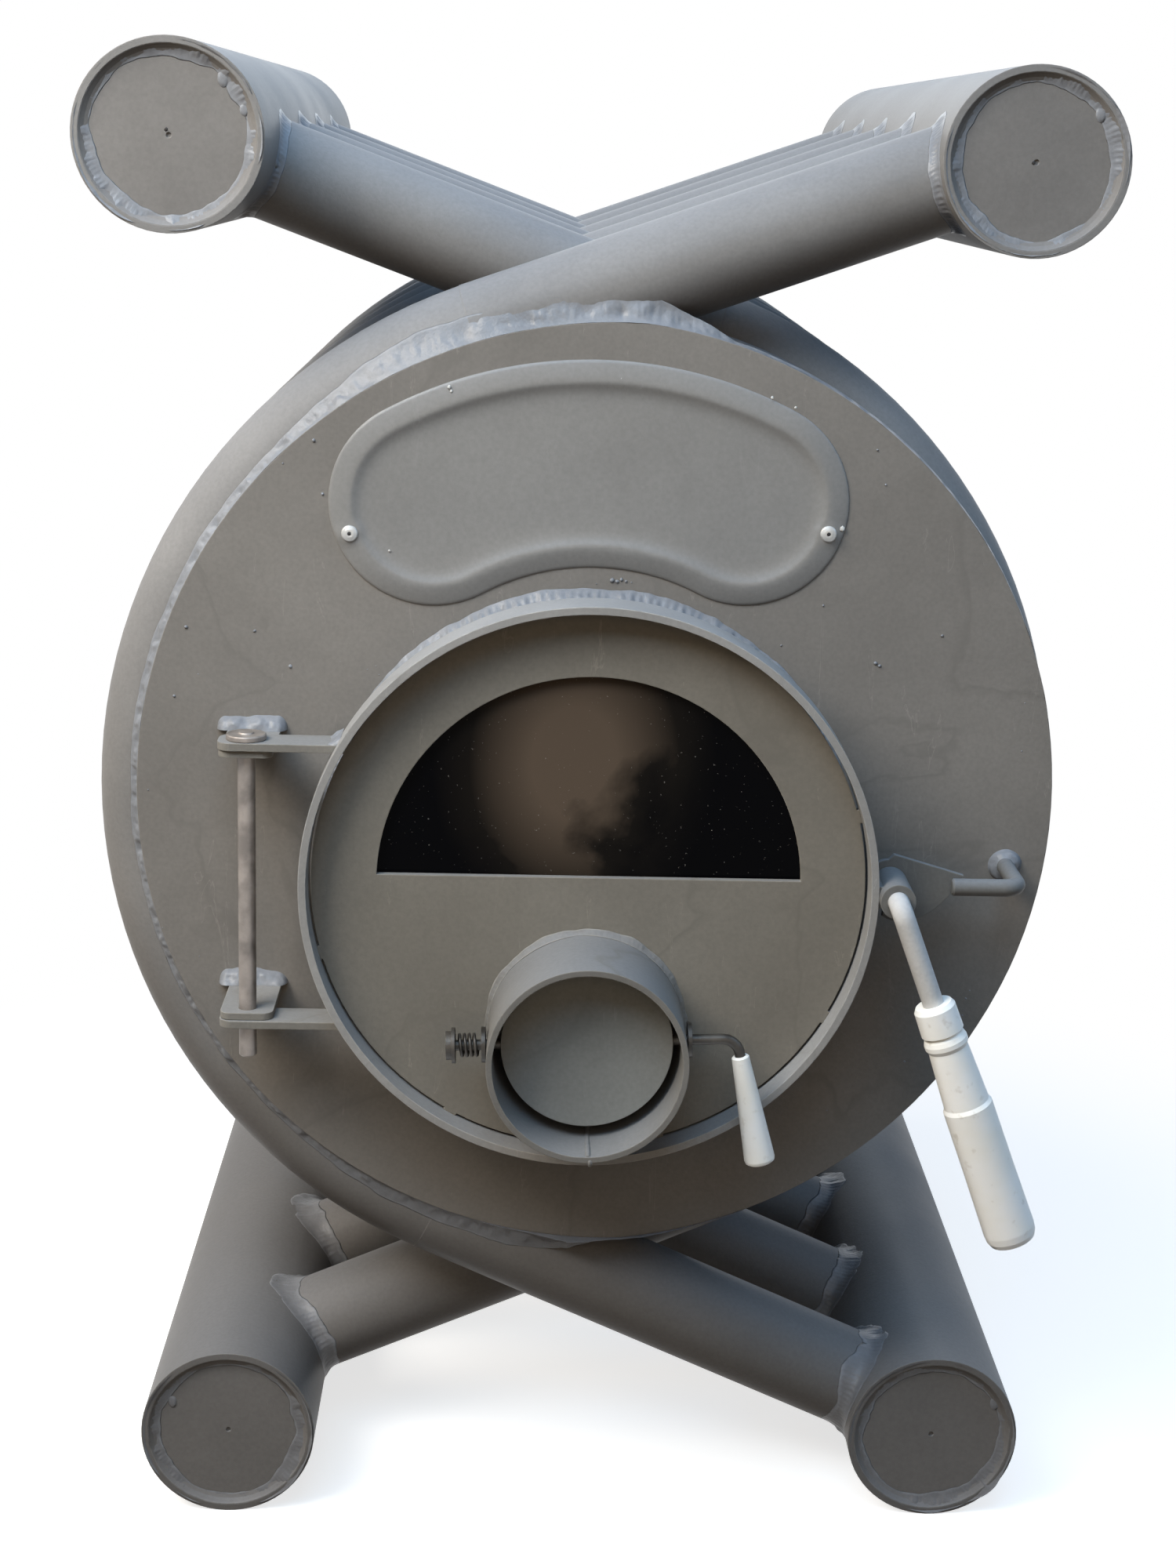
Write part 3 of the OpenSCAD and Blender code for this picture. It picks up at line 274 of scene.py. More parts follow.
def fillet(first, second, corner, full=0.5, lumps=0.0004, ragged=0.2, ripple=0.0, pitch=0.003, seed=0.0,
           closed=True, taper=8, rows=6, swell=None):
    """A weld laid in the corner between two faces. first and second are the lines where it ends on them and
    corner the line where they meet. full is 0 for a hollow weld, 1 for a flat one and more for a proud one.
    lumps and ripple are heights in metres, pitch the ripple's length, ragged how far its edges stray as a
    share of its legs, and swell(i) a factor on its size at point i. An open weld runs out to nothing over
    its first and last taper points."""
    count = len(corner)
    runs = count if closed else count - 1
    first, second, corner = ([Vector(p) for p in line] for line in (first, second, corner))
    way, gone = [0.0], 0.0
    for i in range(1, count):
        gone += (corner[i] - corner[i - 1]).length
        way.append(gone)
    form = bmesh.new()
    bmesh.ops.create_grid(form, x_segments=runs, y_segments=rows + 2, size=1.0)
    for v in form.verts:
        i = round((v.co.x + 1) / 2 * runs) % count
        j = round((v.co.y + 1) / 2 * (rows + 2)) % (rows + 2)
        root = corner[i]
        size = swell(i) if swell else 1.0
        if not closed:
            end = min(1.0, min(i, runs - i) / taper)
            size *= math.sqrt(end * (2 - end))
        stray_1 = ragged * (wobble(root, 42, seed) + 0.22 * wobble(root, 150, seed))
        stray_2 = ragged * (wobble(root, 48, seed + 5) + 0.30 * wobble(root, 150, seed))
        leg_1 = (first[i] - root) * size * (1 + stray_1)
        leg_2 = (second[i] - root) * size * (1 + stray_2)
        if j == rows + 1:
            v.co = root
            continue
        t = j / rows
        out = leg_1 + leg_2
        v.co = root + leg_1 * ((1 - t) ** 2 + full * t * (1 - t)) + leg_2 * (t * t + full * t * (1 - t))
        if 0 < j < rows and out.length > 1e-9:
            rise = lumps * (wobble(v.co, 120, seed + 9) + 0.4 * wobble(v.co, 330, seed + 2))
            phase = 2 * math.pi * (way[i] / pitch - 2.2 * t * (1 - t)) + 2 * wobble(root, 60, seed)
            rise += ripple * math.sin(phase)
            v.co += out.normalized() * rise * math.sin(math.pi * t) ** 2 * min(1.0, size)
    bmesh.ops.remove_doubles(form, verts=form.verts, dist=1e-6)
    bmesh.ops.recalc_face_normals(form, faces=form.faces)
    shape = bpy.data.meshes.new("weld")
    form.to_mesh(shape)
    form.free()
    return shape


def beads(dots, flat=(1.0, 0.6, 1.0), detail=2):
    """Round blobs of metal from (x, y, z, radius) rows, squashed along each axis by flat."""
    form = bmesh.new()
    for x, y, z, r in dots:
        bmesh.ops.create_icosphere(form, subdivisions=detail, radius=r,
                                   matrix=Matrix.Translation((x, y, z)) @ Matrix.Diagonal((*flat, 1)))
    for v in form.verts:
        v.co += Vector([wobble(v.co, 260, k) for k in range(3)]) * 0.0002
    shape = bpy.data.meshes.new("beads")
    form.to_mesh(shape)
    form.free()
    return shape


SHARP_EDGE = math.radians(50)


def add_piece(name, shapes, body, finish):
    """One piece made of several meshes, shaded smooth but for its sharp edges."""
    form = bmesh.new()
    for shape in shapes:
        form.from_mesh(shape)
        bpy.data.meshes.remove(shape)
    bmesh.ops.recalc_face_normals(form, faces=form.faces)
    mesh = bpy.data.meshes.new(name)
    form.to_mesh(mesh)
    form.free()
    for face in mesh.polygons:
        face.use_smooth = True
    mesh.set_sharp_from_angle(angle=SHARP_EDGE)
    mesh.materials.append(finish)
    piece = bpy.data.objects.new(name, mesh)
    scene.collection.objects.link(piece)
    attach(piece, body)
    return piece


# Each kind of tube: the height of its bend's centre, and for its upper and lower end the collector
# (distance from the middle, height) and how far from the collector's axis the end aims. Kind 0 bends
# left, and the tubes change kind one by one from front to back.
TUBE_R, BEND_R, BEND_X, COLLECTOR_R, BORE_R = 0.030, 0.288, 0.030, 0.0525, 0.0485
TUBES, Y_FIRST, TUBE_PITCH, SEAM_POINTS = 9, -0.2185, 0.0605, 230
UPPER, LOWER_LEFT, LOWER_RIGHT = (0.238, 0.825), (0.2112, 0.0525), (0.2228, 0.0525)
kinds = (
    (Z_DOOR + 0.029, ((*UPPER, 0.005), (*LOWER_RIGHT, -0.005))),
    (Z_DOOR + 0.025, ((*UPPER, -0.002), (*LOWER_LEFT, 0.002))),
)


def tube_end(kind, up):
    """The tangent point and direction of a left-bent tube's arm, in X and Z, and its collector's axis."""
    high, ends = kinds[kind]
    x, z, off = ends[0 if up else 1]
    reach = Vector((x - BEND_X, z + off - high))
    turn = math.atan2(reach.y, reach.x) + (1 if up else -1) * math.acos(BEND_R / reach.length)
    start = Vector((BEND_X + BEND_R * math.cos(turn), high + BEND_R * math.sin(turn)))
    return start, (Vector((x, z + off)) - start).normalized(), Vector((x, z))


def cope(i, up, wide=0.0, back=0.0):
    """Points round the seam of tube i's end on its collector, wide metres outside the tube or back
    along it."""
    start, way, centre = tube_end((i + 1) % 2, up)
    side = Vector((-way.y, way.x))
    y = Y_FIRST + TUBE_PITCH * (i - 1)
    flip = -1 if i % 2 == 0 else 1
    seam = []
    for k in range(SEAM_POINTS):
        a = 2 * math.pi * k / SEAM_POINTS
        p = start + side * (TUBE_R + wide) * math.cos(a)
        b = (p - centre).dot(way)
        c = (p - centre).length_squared - COLLECTOR_R ** 2
        q = p + way * (-b - math.sqrt(max(0.0, b * b - c)) - back)
        seam.append((flip * q.x, y + (TUBE_R + wide) * math.sin(a), q.y))
    return seam


seams = []
for i in range(1, TUBES + 1):
    for up, leg, back, full, lumps, ragged in ((True, 0.0048, 0.0056, 0.4, 0.0005, 0.28),
                                               (False, 0.0074, 0.0110, 0.05, 0.0007, 0.34)):
        seams.append(fillet(cope(i, up, back=back), cope(i, up, wide=leg), cope(i, up), full=full,
                            lumps=lumps, ragged=ragged, ripple=0.0002, seed=i + 20 * up))
drips = [(-0.1876, -0.1900, 0.8115, 0.0030), (-0.1851, -0.1865, 0.8155, 0.0018),
         (0.1893, -0.2215, 0.8090, 0.0024)]
seams.append(beads(drips, (0.6, 1.0, 1.2)))
add_piece("tube_end_welds", seams, "stove", weld_paint)

# The collectors' front ends are closed by discs set a little in, welded round from the front.
cap_paint = paint("cap_paint", srgb(122, 119, 116), worn=0.7, marks=0.25, low_shade=0.25)
dress(cap_paint, *[f"cap_{v}_{h}" for v in ("upper", "lower") for h in ("left", "right")])
collectors = ((-UPPER[0], UPPER[1]), UPPER, (-LOWER_LEFT[0], LOWER_LEFT[1]), LOWER_RIGHT)
Y_CAP_RIM, Y_CAP, Y_CAP_ROOT, CAP_POINTS = -0.2651, -0.2606, -0.2604, 340


def ring_y(x, y, z, r, count):
    """Points on a circle that faces along Y, anticlockwise from its right as seen from the front."""
    turns = [2 * math.pi * k / count for k in range(count)]
    return [(x + r * math.cos(a), y, z + r * math.sin(a)) for a in turns]


rings = []
for seed, (x, z) in enumerate(collectors):
    rings.append(fillet(ring_y(x, Y_CAP_RIM, z, BORE_R + 0.0027, CAP_POINTS),
                        ring_y(x, Y_CAP, z, BORE_R - 0.0070, CAP_POINTS),
                        ring_y(x, Y_CAP_ROOT, z, BORE_R, CAP_POINTS),
                        full=0.45, lumps=0.0009, ragged=0.22, ripple=0.0002, seed=40 + seed,
                        swell=lambda i, turn=seed: 0.97 + 0.16 * math.sin(4 * math.pi * i / CAP_POINTS + turn)))
# A run of weld leaves a lump where it starts or stops.
lumps_at = ((-0.2082, 0.8557, 0.0032), (-0.1969, 0.8396, 0.0026), (0.2722, 0.8521, 0.0034),
            (0.2612, 0.0735, 0.0030), (-0.2450, 0.0710, 0.0025))
rings.append(beads([(x, Y_CAP, z, r) for x, z, r in lumps_at], (1.0, 0.3, 1.5)))
add_piece("cap_welds", rings, "stove", weld_paint)
# The punch marks on the caps are dark dots of painted shade.
pit_shade = paint("prick_shade", srgb(58, 56, 55), worn=0.0)
pricks = [(-0.2393, -0.2605, 0.8279, 0.0011), (-0.2263, -0.2605, 0.8096, 0.0008),
          (0.2361, -0.2605, 0.8245, 0.0012)]
add_piece("cap_punch_shade", [beads(pricks, (1, 0.25, 1), 1)], "stove", pit_shade)

# ---------------------------------------------------------------- drum's end plates and their welds
# Two steel plates end the drum, each welded all round its edge. The door's neck is welded to the
# front one, with a wider run at the top, and the flue collar to the back one. Spatter from this
# welding stays on the front plate as dots.

plate_paint = paint("plate_paint", srgb(128, 124, 119), cloud=0.07, marks=1.0)
dress(plate_paint, "front_plate", "back_plate", "door_neck", "seal_channel", "window_frame", "heat_shield")
Y_PLATE, Y_BACK, NECK_R, PLATE_RISE, FAR = -0.253, 0.2955, 0.1525, 0.035, 9.0
PLATE_MIDDLE = Vector((0, Z_DOOR + PLATE_RISE))
PLATE_CIRCLES = ((0.014, 0.276), (-0.005, 0.2775))


def clamped(value):
    """The value, held between 0 and 1."""
    return max(0.0, min(1.0, value))


def plate_edge(out=0.0, count=2100):
    """Points in X and Z round the edge of the drum's end plate, in the meeting of its two circles."""
    edge = []
    for k in range(count):
        a = 2 * math.pi * k / count
        ray = Vector((math.cos(a), math.sin(a)))
        far = FAR
        for x, r in PLATE_CIRCLES:
            off = Vector((x, 0))
            b = ray.dot(off)
            far = min(far, b + math.sqrt(b * b - off.length_squared + (r + out) ** 2))
        edge.append(PLATE_MIDDLE + ray * far)
    return edge


arms = [tube_end(0, up)[:2] for up in (True, False)]
bend = Vector((BEND_X, kinds[0][0]))


def first_tube(p):
    """How far forward the first tube reaches at a point in X and Z, or None beside it."""
    top, foot = arms[0][0] - bend, arms[1][0] - bend
    turn = math.atan2((p - bend).y, (p - bend).x) % (2 * math.pi)
    near = FAR
    if math.atan2(top.y, top.x) % (2 * math.pi) <= turn <= math.atan2(foot.y, foot.x) % (2 * math.pi):
        near = abs((p - bend).length - BEND_R)
    for start, way in arms:
        along = (p - start).dot(way)
        if along > 0:
            near = min(near, (p - start - way * along).length)
    return Y_FIRST - math.sqrt(TUBE_R ** 2 - near ** 2) if near < TUBE_R else None


def eased(values, reach):
    """A closed row of numbers, each the mean of its neighbours."""
    span = range(-reach, reach + 1)
    return [sum(values[(i + k) % len(values)] for k in span) / len(span) for i in range(len(values))]


# The front weld is wider at the top and the bottom. It ends on the first tube where that lies close
# behind the plate, and beside the tube on the strip.
LEAST_LEG, LEG_STEP, Y_TUBE_NEAR, Y_STRIP, Y_PLATE_REAR = 0.0014, 0.0004, -0.2395, -0.2425, -0.2484
edge, legs, fronts, backs = plate_edge(), [], [], []
for p in edge:
    out = (p - PLATE_MIDDLE).normalized()
    reach = 0.0048 + 0.0100 * clamped((p.y - 0.655) / 0.05) + 0.005 * clamped((0.25 - p.y) / 0.05)
    while reach > LEAST_LEG:
        y = first_tube(p + out * reach)
        if y is not None and y < Y_TUBE_NEAR:
            break
        reach -= LEG_STEP
    if reach <= LEAST_LEG:
        y = Y_STRIP
    legs.append(reach)
    fronts.append(y)
    y = first_tube(p + out * 0.0002)
    backs.append(max(Y_PLATE_REAR, y if y is not None else Y_STRIP))
legs, fronts, backs = eased(legs, 30), eased(fronts, 30), eased(backs, 10)
inner, outer, roots = [], [], []
for p, leg, front, back in zip(edge, legs, fronts, backs):
    out = (p - PLATE_MIDDLE).normalized()
    inner.append((p.x, Y_PLATE + 0.0006, p.y))
    outer.append((p.x + out.x * leg, front, p.y + out.y * leg))
    roots.append((p.x - out.x * 0.001, back, p.y - out.y * 0.001))
# The front weld bulges near its lowest point. The back one is even.
BULGE_AT, BULGE_HALF, BACK_POINTS, NECK_POINTS, COLLAR_POINTS, Z_FLUE = 1590, 130, 900, 1150, 460, 0.6375
edge_welds = [fillet(inner, outer, roots, full=0.7, lumps=0.0013, ragged=0.09, seed=3, rows=7,
                     swell=lambda i: 1.0 + 0.45 * max(0.0, 1.0 - abs(i - BULGE_AT) / BULGE_HALF))]
back_lines = [[(p.x, Y_BACK + y, p.y) for p in plate_edge(out, BACK_POINTS)]
              for out, y in ((0, 0.0043), (0.0045, -0.0006), (-0.0006, 0.0004))]
edge_welds.append(fillet(*back_lines, full=1.2, lumps=0.0007, ragged=0.25, ripple=0.0003, seed=8))
neck_lines = [ring_y(0, Y_PLATE + y, Z_DOOR, NECK_R + out, NECK_POINTS)
              for y, out in ((-0.0054, 0.0), (-0.0001, 0.0058), (0.0002, -0.0003))]
collar_lines = [ring_y(0, y, Z_FLUE, r, COLLAR_POINTS)
                for y, r in ((0.3048, 0.062), (0.3001, 0.0668), (0.2998, 0.0617))]
welds = [
    fillet(*neck_lines, full=1.1, lumps=0.0009, ragged=0.17, ripple=0.00032, pitch=0.0050, seed=5,
           swell=lambda i: 1.0 + 0.45 * max(0.0, math.sin(2 * math.pi * i / NECK_POINTS)) ** 2),
    fillet(*collar_lines, full=1.1, lumps=0.0006, ragged=0.22, ripple=0.0003, seed=9),
]
add_piece("drum_welds", welds, "stove", weld_paint)
add_piece("plate_edge_welds", edge_welds, "stove", weld_paint)

# Spatter: x and z in metres and the radius in millimetres. The first dots have their places, the
# others fall at random beside the neck's weld and the plate's edge.
random.seed(11)
spatter = [(-0.1602, 0.6599, 1.3), (-0.1553, 0.6298, 1.1), (-0.2327, 0.5514, 1.2), (-0.1936, 0.5500, 1.0),
           (-0.1736, 0.5298, 1.3), (-0.2399, 0.5109, 1.0), (-0.0631, 0.3603, 1.2), (0.0100, 0.5840, 1.7),
           (0.0128, 0.5834, 1.4), (0.0152, 0.5846, 1.2), (0.0180, 0.5838, 1.0), (0.1640, 0.5390, 1.3),
           (0.1665, 0.5375, 1.1), (0.2020, 0.5560, 0.9), (0.1320, 0.5720, 0.8), (-0.0700, 0.5810, 1.0),
           (-0.0450, 0.5865, 1.1)]
for k in range(34):
    turn = random.uniform(0, 2 * math.pi)
    far = random.choice((NECK_R + 0.010 + random.random() ** 2 * 0.03, 0.262 - random.random() ** 2 * 0.03))
    x, z = far * math.cos(turn), Z_DOOR + (0.0 if far < 0.2 else PLATE_RISE) + far * math.sin(turn)
    spatter.append((x, z, random.uniform(0.35, 0.8)))
dots = [(x, Y_PLATE, z, r * 0.001) for x, z, r in spatter]
add_piece("plate_spatter", [beads(dots, (1, 0.8, 1), 1)], "stove", weld_paint)

# ---------------------------------------------------------------- name plate
# A curved plate pressed from thin sheet: it rises from its edge to a ridge and falls softly to a
# bare field. Two aluminium rivets hold its border to the drum's plate, and its paint is chipped.

ARC_R, HALF_W, HALF_TURN, TILT = 0.191, 0.059, math.radians(27.8), math.radians(1.3)
Z_BADGE, RIVET_X, RIVET_UP, SEAT_H = Z_DOOR + 0.040, 0.13625, 0.1518, 0.00296
# The pressing's section: distance from the edge and height, both in millimetres.
press = ((0.0, 0.0), (0.15, 0.6), (0.5, 0.9), (2.0, 1.3), (5.0, 2.0), (8.5, 2.65), (10.6, 2.93), (11.8, 3.0),
         (12.8, 2.92), (13.8, 2.66), (15.0, 2.22), (16.5, 1.70), (18.5, 1.22), (21.0, 0.90), (25.0, 0.72),
         (31.0, 0.64), (40.0, 0.60), (50.0, 0.6), (59.0, 0.6))
across = [(HALF_W - s / 1000, h / 1000) for s, h in press]


def pressed(profile, centre, start, turn, steps):
    """A chain of (distance from the centre, height) points spun about the plate's normal."""
    chain = [form.verts.new((centre.x + r * math.cos(start), centre.y + r * math.sin(start), h))
             for r, h in profile]
    lines = [form.edges.new(pair) for pair in zip(chain, chain[1:])]
    bmesh.ops.spin(form, geom=chain + lines, cent=(*centre, 0), axis=(0, 0, 1), angle=turn, steps=steps)


form = bmesh.new()
whole = [(ARC_R + u, h) for u, h in across] + [(ARC_R - u, h) for u, h in reversed(across[:-1])]
pressed(whole, Vector((0, 0)), math.pi / 2 - HALF_TURN, 2 * HALF_TURN, 90)
for side in (1, -1):
    turn = math.pi / 2 - side * HALF_TURN
    lobe = ARC_R * Vector((math.cos(turn), math.sin(turn)))
    pressed(across, lobe, turn if side == -1 else turn - math.pi, math.pi, 84)
bmesh.ops.remove_doubles(form, verts=form.verts, dist=2e-5)
# The border is level under the rivets' heads, and the sheet is nowhere quite flat.
for v in form.verts:
    for side in (1, -1):
        seat = Vector((side * RIVET_X, RIVET_UP))
        share = clamped(((v.co.xy - seat).length - 0.0052) / 0.0035)
        if v.co.z > 0.0009:
            v.co.z = SEAT_H + (v.co.z - SEAT_H) * share * share * (3 - 2 * share)
    if v.co.z > 0.0005:
        v.co.z = min(0.003, v.co.z + 0.00012 * wobble((v.co.x, v.co.y, 0), 35))
rim = [e for e in form.edges if e.is_boundary]
bmesh.ops.holes_fill(form, edges=rim)
tilted = Matrix.Rotation(-TILT, 4, "Y")
upright = Matrix.Translation((0, Y_PLATE, Z_BADGE)) @ tilted @ Matrix.Rotation(math.pi / 2, 4, "X")
bmesh.ops.transform(form, verts=form.verts, matrix=upright)
pressing = bpy.data.meshes.new("pressing")
form.to_mesh(pressing)
form.free()
badge_paint = paint("name_plate_paint", srgb(131, 130, 128), rough=0.36, cloud=0.05, grain=0.6, marks=0.25,
                    sheen=0.34)
badge = add_piece("pressed_name_plate", [pressing], "stove", badge_paint)
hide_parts("name_plate")
bare = paint("bare_chips", srgb(216, 216, 212), worn=0.0, cloud=0.03)
chips = [(-0.0844, -0.2555, 0.6921, 0.0012), (-0.0830, -0.2556, 0.6898, 0.0008),
         (0.0117, -0.2555, 0.6995, 0.0009), (0.0973, -0.2553, 0.6908, 0.0010),
         (0.1108, -0.2551, 0.6858, 0.0009), (0.1408, -0.2549, 0.6174, 0.0016),
         (-0.1172, -0.2543, 0.5985, 0.0007)]
add_piece("name_plate_chips", [beads(chips, (1, 0.25, 1.2), 1)], "stove", bare)
METAL_ROUGH = 0.42


def metal(name, base, dull, shine):
    """Steel or aluminium with a fine grain and a mottled skin. dull is how dark its blotches are and shine
    how metallic it looks."""
    made = bpy.data.materials.new(name)
    node = nodes_of(made)
    spot = node("TexCoord").outputs["Object"]
    blot = node("TexNoise", {"Vector": spot, "Scale": 90.0, "Detail": 4.0}).outputs[0]
    fine = node("TexNoise", {"Vector": spot, "Scale": 900.0, "Detail": 2.0}).outputs[0]
    rounded = node("Bevel", {"Radius": 0.0005}, samples=6).outputs[0]
    bumps = node("Bump", {"Height": fine, "Strength": 0.3, "Distance": 0.0004, "Normal": rounded}).outputs[0]
    tone = ramp(node, blot, (0.35, tinted(base, dull)), (0.65, base))
    gloss = ramp(node, blot, (0.3, METAL_ROUGH - 0.08), (0.7, METAL_ROUGH + 0.12))
    shader = node("BsdfPrincipled", {"Base Color": tone, "Roughness": gloss, "Normal": bumps})
    shader.inputs["Metallic"].default_value = shine
    node("OutputMaterial", {"Surface": shader.outputs[0]})
    return made


dress(metal("rivet_metal", srgb(190, 190, 188), dull=0.8, shine=0.45), "name_plate_rivets")
# The dark dots at the centres of the rivet heads are painted shade.
heads = [tilted @ Vector((side * RIVET_X, 0, RIVET_UP)) for side in (1, -1)]
dots = [(c.x, -0.2579, Z_BADGE + c.z, 0.0011) for c in heads]
add_piece("rivet_centre_shade", [beads(dots, (1, 0.25, 1), 1)], "stove", pit_shade)

# ---------------------------------------------------------------- hinge
# Two lugs are welded to the plate with short fat beads and two arms to the door's ring. A bare
# steel pin, brown with age, passes through them.

hinge_paint = paint("hinge_paint", srgb(127, 124, 118), worn=1.0, marks=0.6)
dress(hinge_paint, "hinge_lug_upper", "hinge_lug_lower", "hinge_arm_upper", "hinge_arm_lower")
dress(metal("pin_steel", srgb(158, 150, 144), dull=0.6, shine=0.45), "hinge_pin")


def straight(start, end, count):
    """Points on a line."""
    return [Vector(start).lerp(Vector(end), k / (count - 1)) for k in range(count)]


lugs = []
for z, seed in ((0.493, 21), (0.3395, 24)):
    lines = [straight((-0.2155, y, z + up), (-0.1750, y, z + up), 60)
             for y, up in ((-0.2620, 0.0), (-0.2529, 0.0078), (-0.2527, -0.0004))]
    lugs.append(fillet(*lines, full=1.5, lumps=0.0013, ragged=0.22, seed=seed, closed=False, taper=9, rows=8))
add_piece("hinge_lug_welds", lugs, "stove", weld_paint)
RING_R = 0.1625


def on_ring(z):
    """The left side of the door's ring at this height above the door's middle."""
    return -math.sqrt(RING_R ** 2 - z ** 2)


joints = []
for z, seed in ((0.4977, 31), (0.3352, 34)):
    up = z - Z_DOOR
    x, x_up = on_ring(up), on_ring(up + 0.0045)
    corners = ((x - 0.0050, z), (x_up - 0.0001, z + 0.0045), (x + 0.0005, z - 0.0005))
    lines = [straight((side, -0.3112, high), (side, -0.2880, high), 34) for side, high in corners]
    joints.append(fillet(*lines, full=1.0, lumps=0.0007, ragged=0.3, seed=seed, closed=False, taper=4))
add_piece("hinge_arm_welds", joints, "door", weld_paint)

# ---------------------------------------------------------------- door
# A flat bar rolled into a ring holds a round plate on small tacks. Its window is dark heat-proof
# glass behind a cut-out, and a braided rope lies in a channel round its back.

door_paint = paint("door_paint", srgb(126, 121, 112), cloud=0.07, marks=1.0, worn=0.6)
ring_paint = paint("ring_paint", srgb(152, 150, 147), cloud=0.09, marks=0.8, worn=1.0, sheen=0.2)
dress(door_paint, "door_plate")
dress(ring_paint, "door_ring")

window = bpy.data.materials.new("window_glass")
node = nodes_of(window)
spot = node("TexCoord").outputs["Object"]
# Painted reflection: a brown pool in the middle of the glass, broken up by mottled noise, stands in for a
# reflection. The fine pale specks are dust.
glass_mottle = node("TexNoise", {"Vector": spot, "Scale": 8.0, "Detail": 6.0, "Distortion": 0.2}).outputs[0]
middle = node("Mapping", {0: spot, "Location": (0.10, 0, -3.72), "Scale": (10.0, 0, 7.6)}).outputs[0]
away = node("VectorMath", {0: middle}, operation="LENGTH").outputs["Value"]
patchy = {0: ramp(node, away, (0.10, 1.0), (0.80, 0.0)), 1: ramp(node, glass_mottle, (0.43, 0.10), (0.57, 1.0))}
glow = node("Math", patchy, operation="MULTIPLY").outputs[0]
glass_and_reflection_tone = ramp(node, glow, (0.0, srgb(4, 4, 6)), (0.30, srgb(24, 21, 18)), (0.8, srgb(92, 79, 67)))
specks = node("TexNoise", {"Vector": spot, "Scale": 620.0, "Detail": 2.0}).outputs[0]
glass_and_reflection_tone = blend(node, ramp(node, specks, (0.72, 0.0), (0.78, 0.5)), glass_and_reflection_tone, srgb(150, 145, 138))
gloss = ramp(node, glass_mottle, (0.4, 0.05), (0.62, 0.22))
shader = node("BsdfPrincipled", {"Base Color": glass_and_reflection_tone, "Roughness": gloss})
shader.inputs["Specular IOR Level"].default_value = 0.03
node("OutputMaterial", {"Surface": shader.outputs[0]})
dress(window, "window_glass")


def wound(path, width, closed=False, sides=4, radii=None):
    """A round wire of that width along a path of points."""
    spine = bpy.data.curves.new("wire", "CURVE")
    spine.dimensions, spine.bevel_depth, spine.bevel_resolution = "3D", width / 2, sides
    spine.use_fill_caps = True
    line = spine.splines.new("POLY")
    line.points.add(len(path) - 1)
    line.use_cyclic_u = closed
    for i, at in enumerate(path):
        line.points[i].co = (*at, 1)
        line.points[i].radius = radii[i] if radii else 1.0
    curve = bpy.data.objects.new("wire", spine)
    scene.collection.objects.link(curve)
    shape = bpy.data.meshes.new_from_object(curve.evaluated_get(bpy.context.evaluated_depsgraph_get()))
    bpy.data.objects.remove(curve)
    return shape


# The rope is plaited from six strands, three of each hand, and pressed flat by the neck.
rope = bpy.data.materials.new("seal_rope")
node = nodes_of(rope)
spot = node("TexCoord").outputs["Object"]
weave = node("TexNoise", {"Vector": spot, "Scale": 900.0, "Detail": 3.0}).outputs[0]
soil = node("TexNoise", {"Vector": spot, "Scale": 22.0, "Detail": 3.0}).outputs[0]
yarn = ramp(node, weave, (0.3, srgb(150, 145, 134)), (0.7, srgb(206, 202, 190)))
yarn = blend(node, ramp(node, soil, (0.42, 0.0), (0.66, 0.7)), yarn, srgb(96, 90, 82))
fuzz = node("Bump", {"Height": weave, "Strength": 0.6, "Distance": 0.0004}).outputs[0]
shader = node("BsdfPrincipled", {"Base Color": yarn, "Normal": fuzz})
shader.inputs["Roughness"].default_value = 0.92
node("OutputMaterial", {"Surface": shader.outputs[0]})
SEAL_R, Y_SEAL, TURNS, STEPS = 0.1505, -0.30325, 34, 1020
strands = []
for s in range(6):
    hand = 1 if s < 3 else -1
    lay = []
    for k in range(STEPS):
        a = 2 * math.pi * k / STEPS
        b = hand * TURNS * a + 2 * math.pi * s / 3
        depth = 1.0 + 0.16 * hand * math.sin(2 * TURNS * a * 1.5)
        r = SEAL_R + 0.0031 * math.cos(b)
        lay.append((r * math.cos(a), Y_SEAL + 0.00128 * depth * math.sin(b), Z_DOOR + r * math.sin(a)))
    strands.append(wound(lay, 0.0024, closed=True, sides=1))
strands.append(wound(ring_y(0, Y_SEAL, Z_DOOR, SEAL_R, 200), 0.0040, closed=True, sides=2))
cord_ring = add_piece("plaited_seal", strands, "door", rope)
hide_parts("door_seal")

# ---------------------------------------------------------------- latch
# A bent rod turns in a boss on the door's right, with a white moulded grip. Its cam goes behind a
# hook of round bar that is welded to the plate.

latch_paint = paint("latch_paint", srgb(110, 109, 106), worn=1.0, marks=0.4)
dress(latch_paint, "latch_boss", "latch_cam", "catch_hook")
dress(paint("rod_paint", srgb(206, 204, 201), rough=0.36, worn=0.5, grain=0.6), "latch_rod")
lines = [ring_y(0.2465, y, Z_DOOR, r, 60) for y, r in ((-0.2580, 0.005), (-0.2529, 0.0100), (-0.2527, 0.0047))]
hook_fillet = fillet(*lines, full=1.2, lumps=0.0008, ragged=0.3, seed=51)
add_piece("hook_weld", [hook_fillet], "stove", weld_paint)

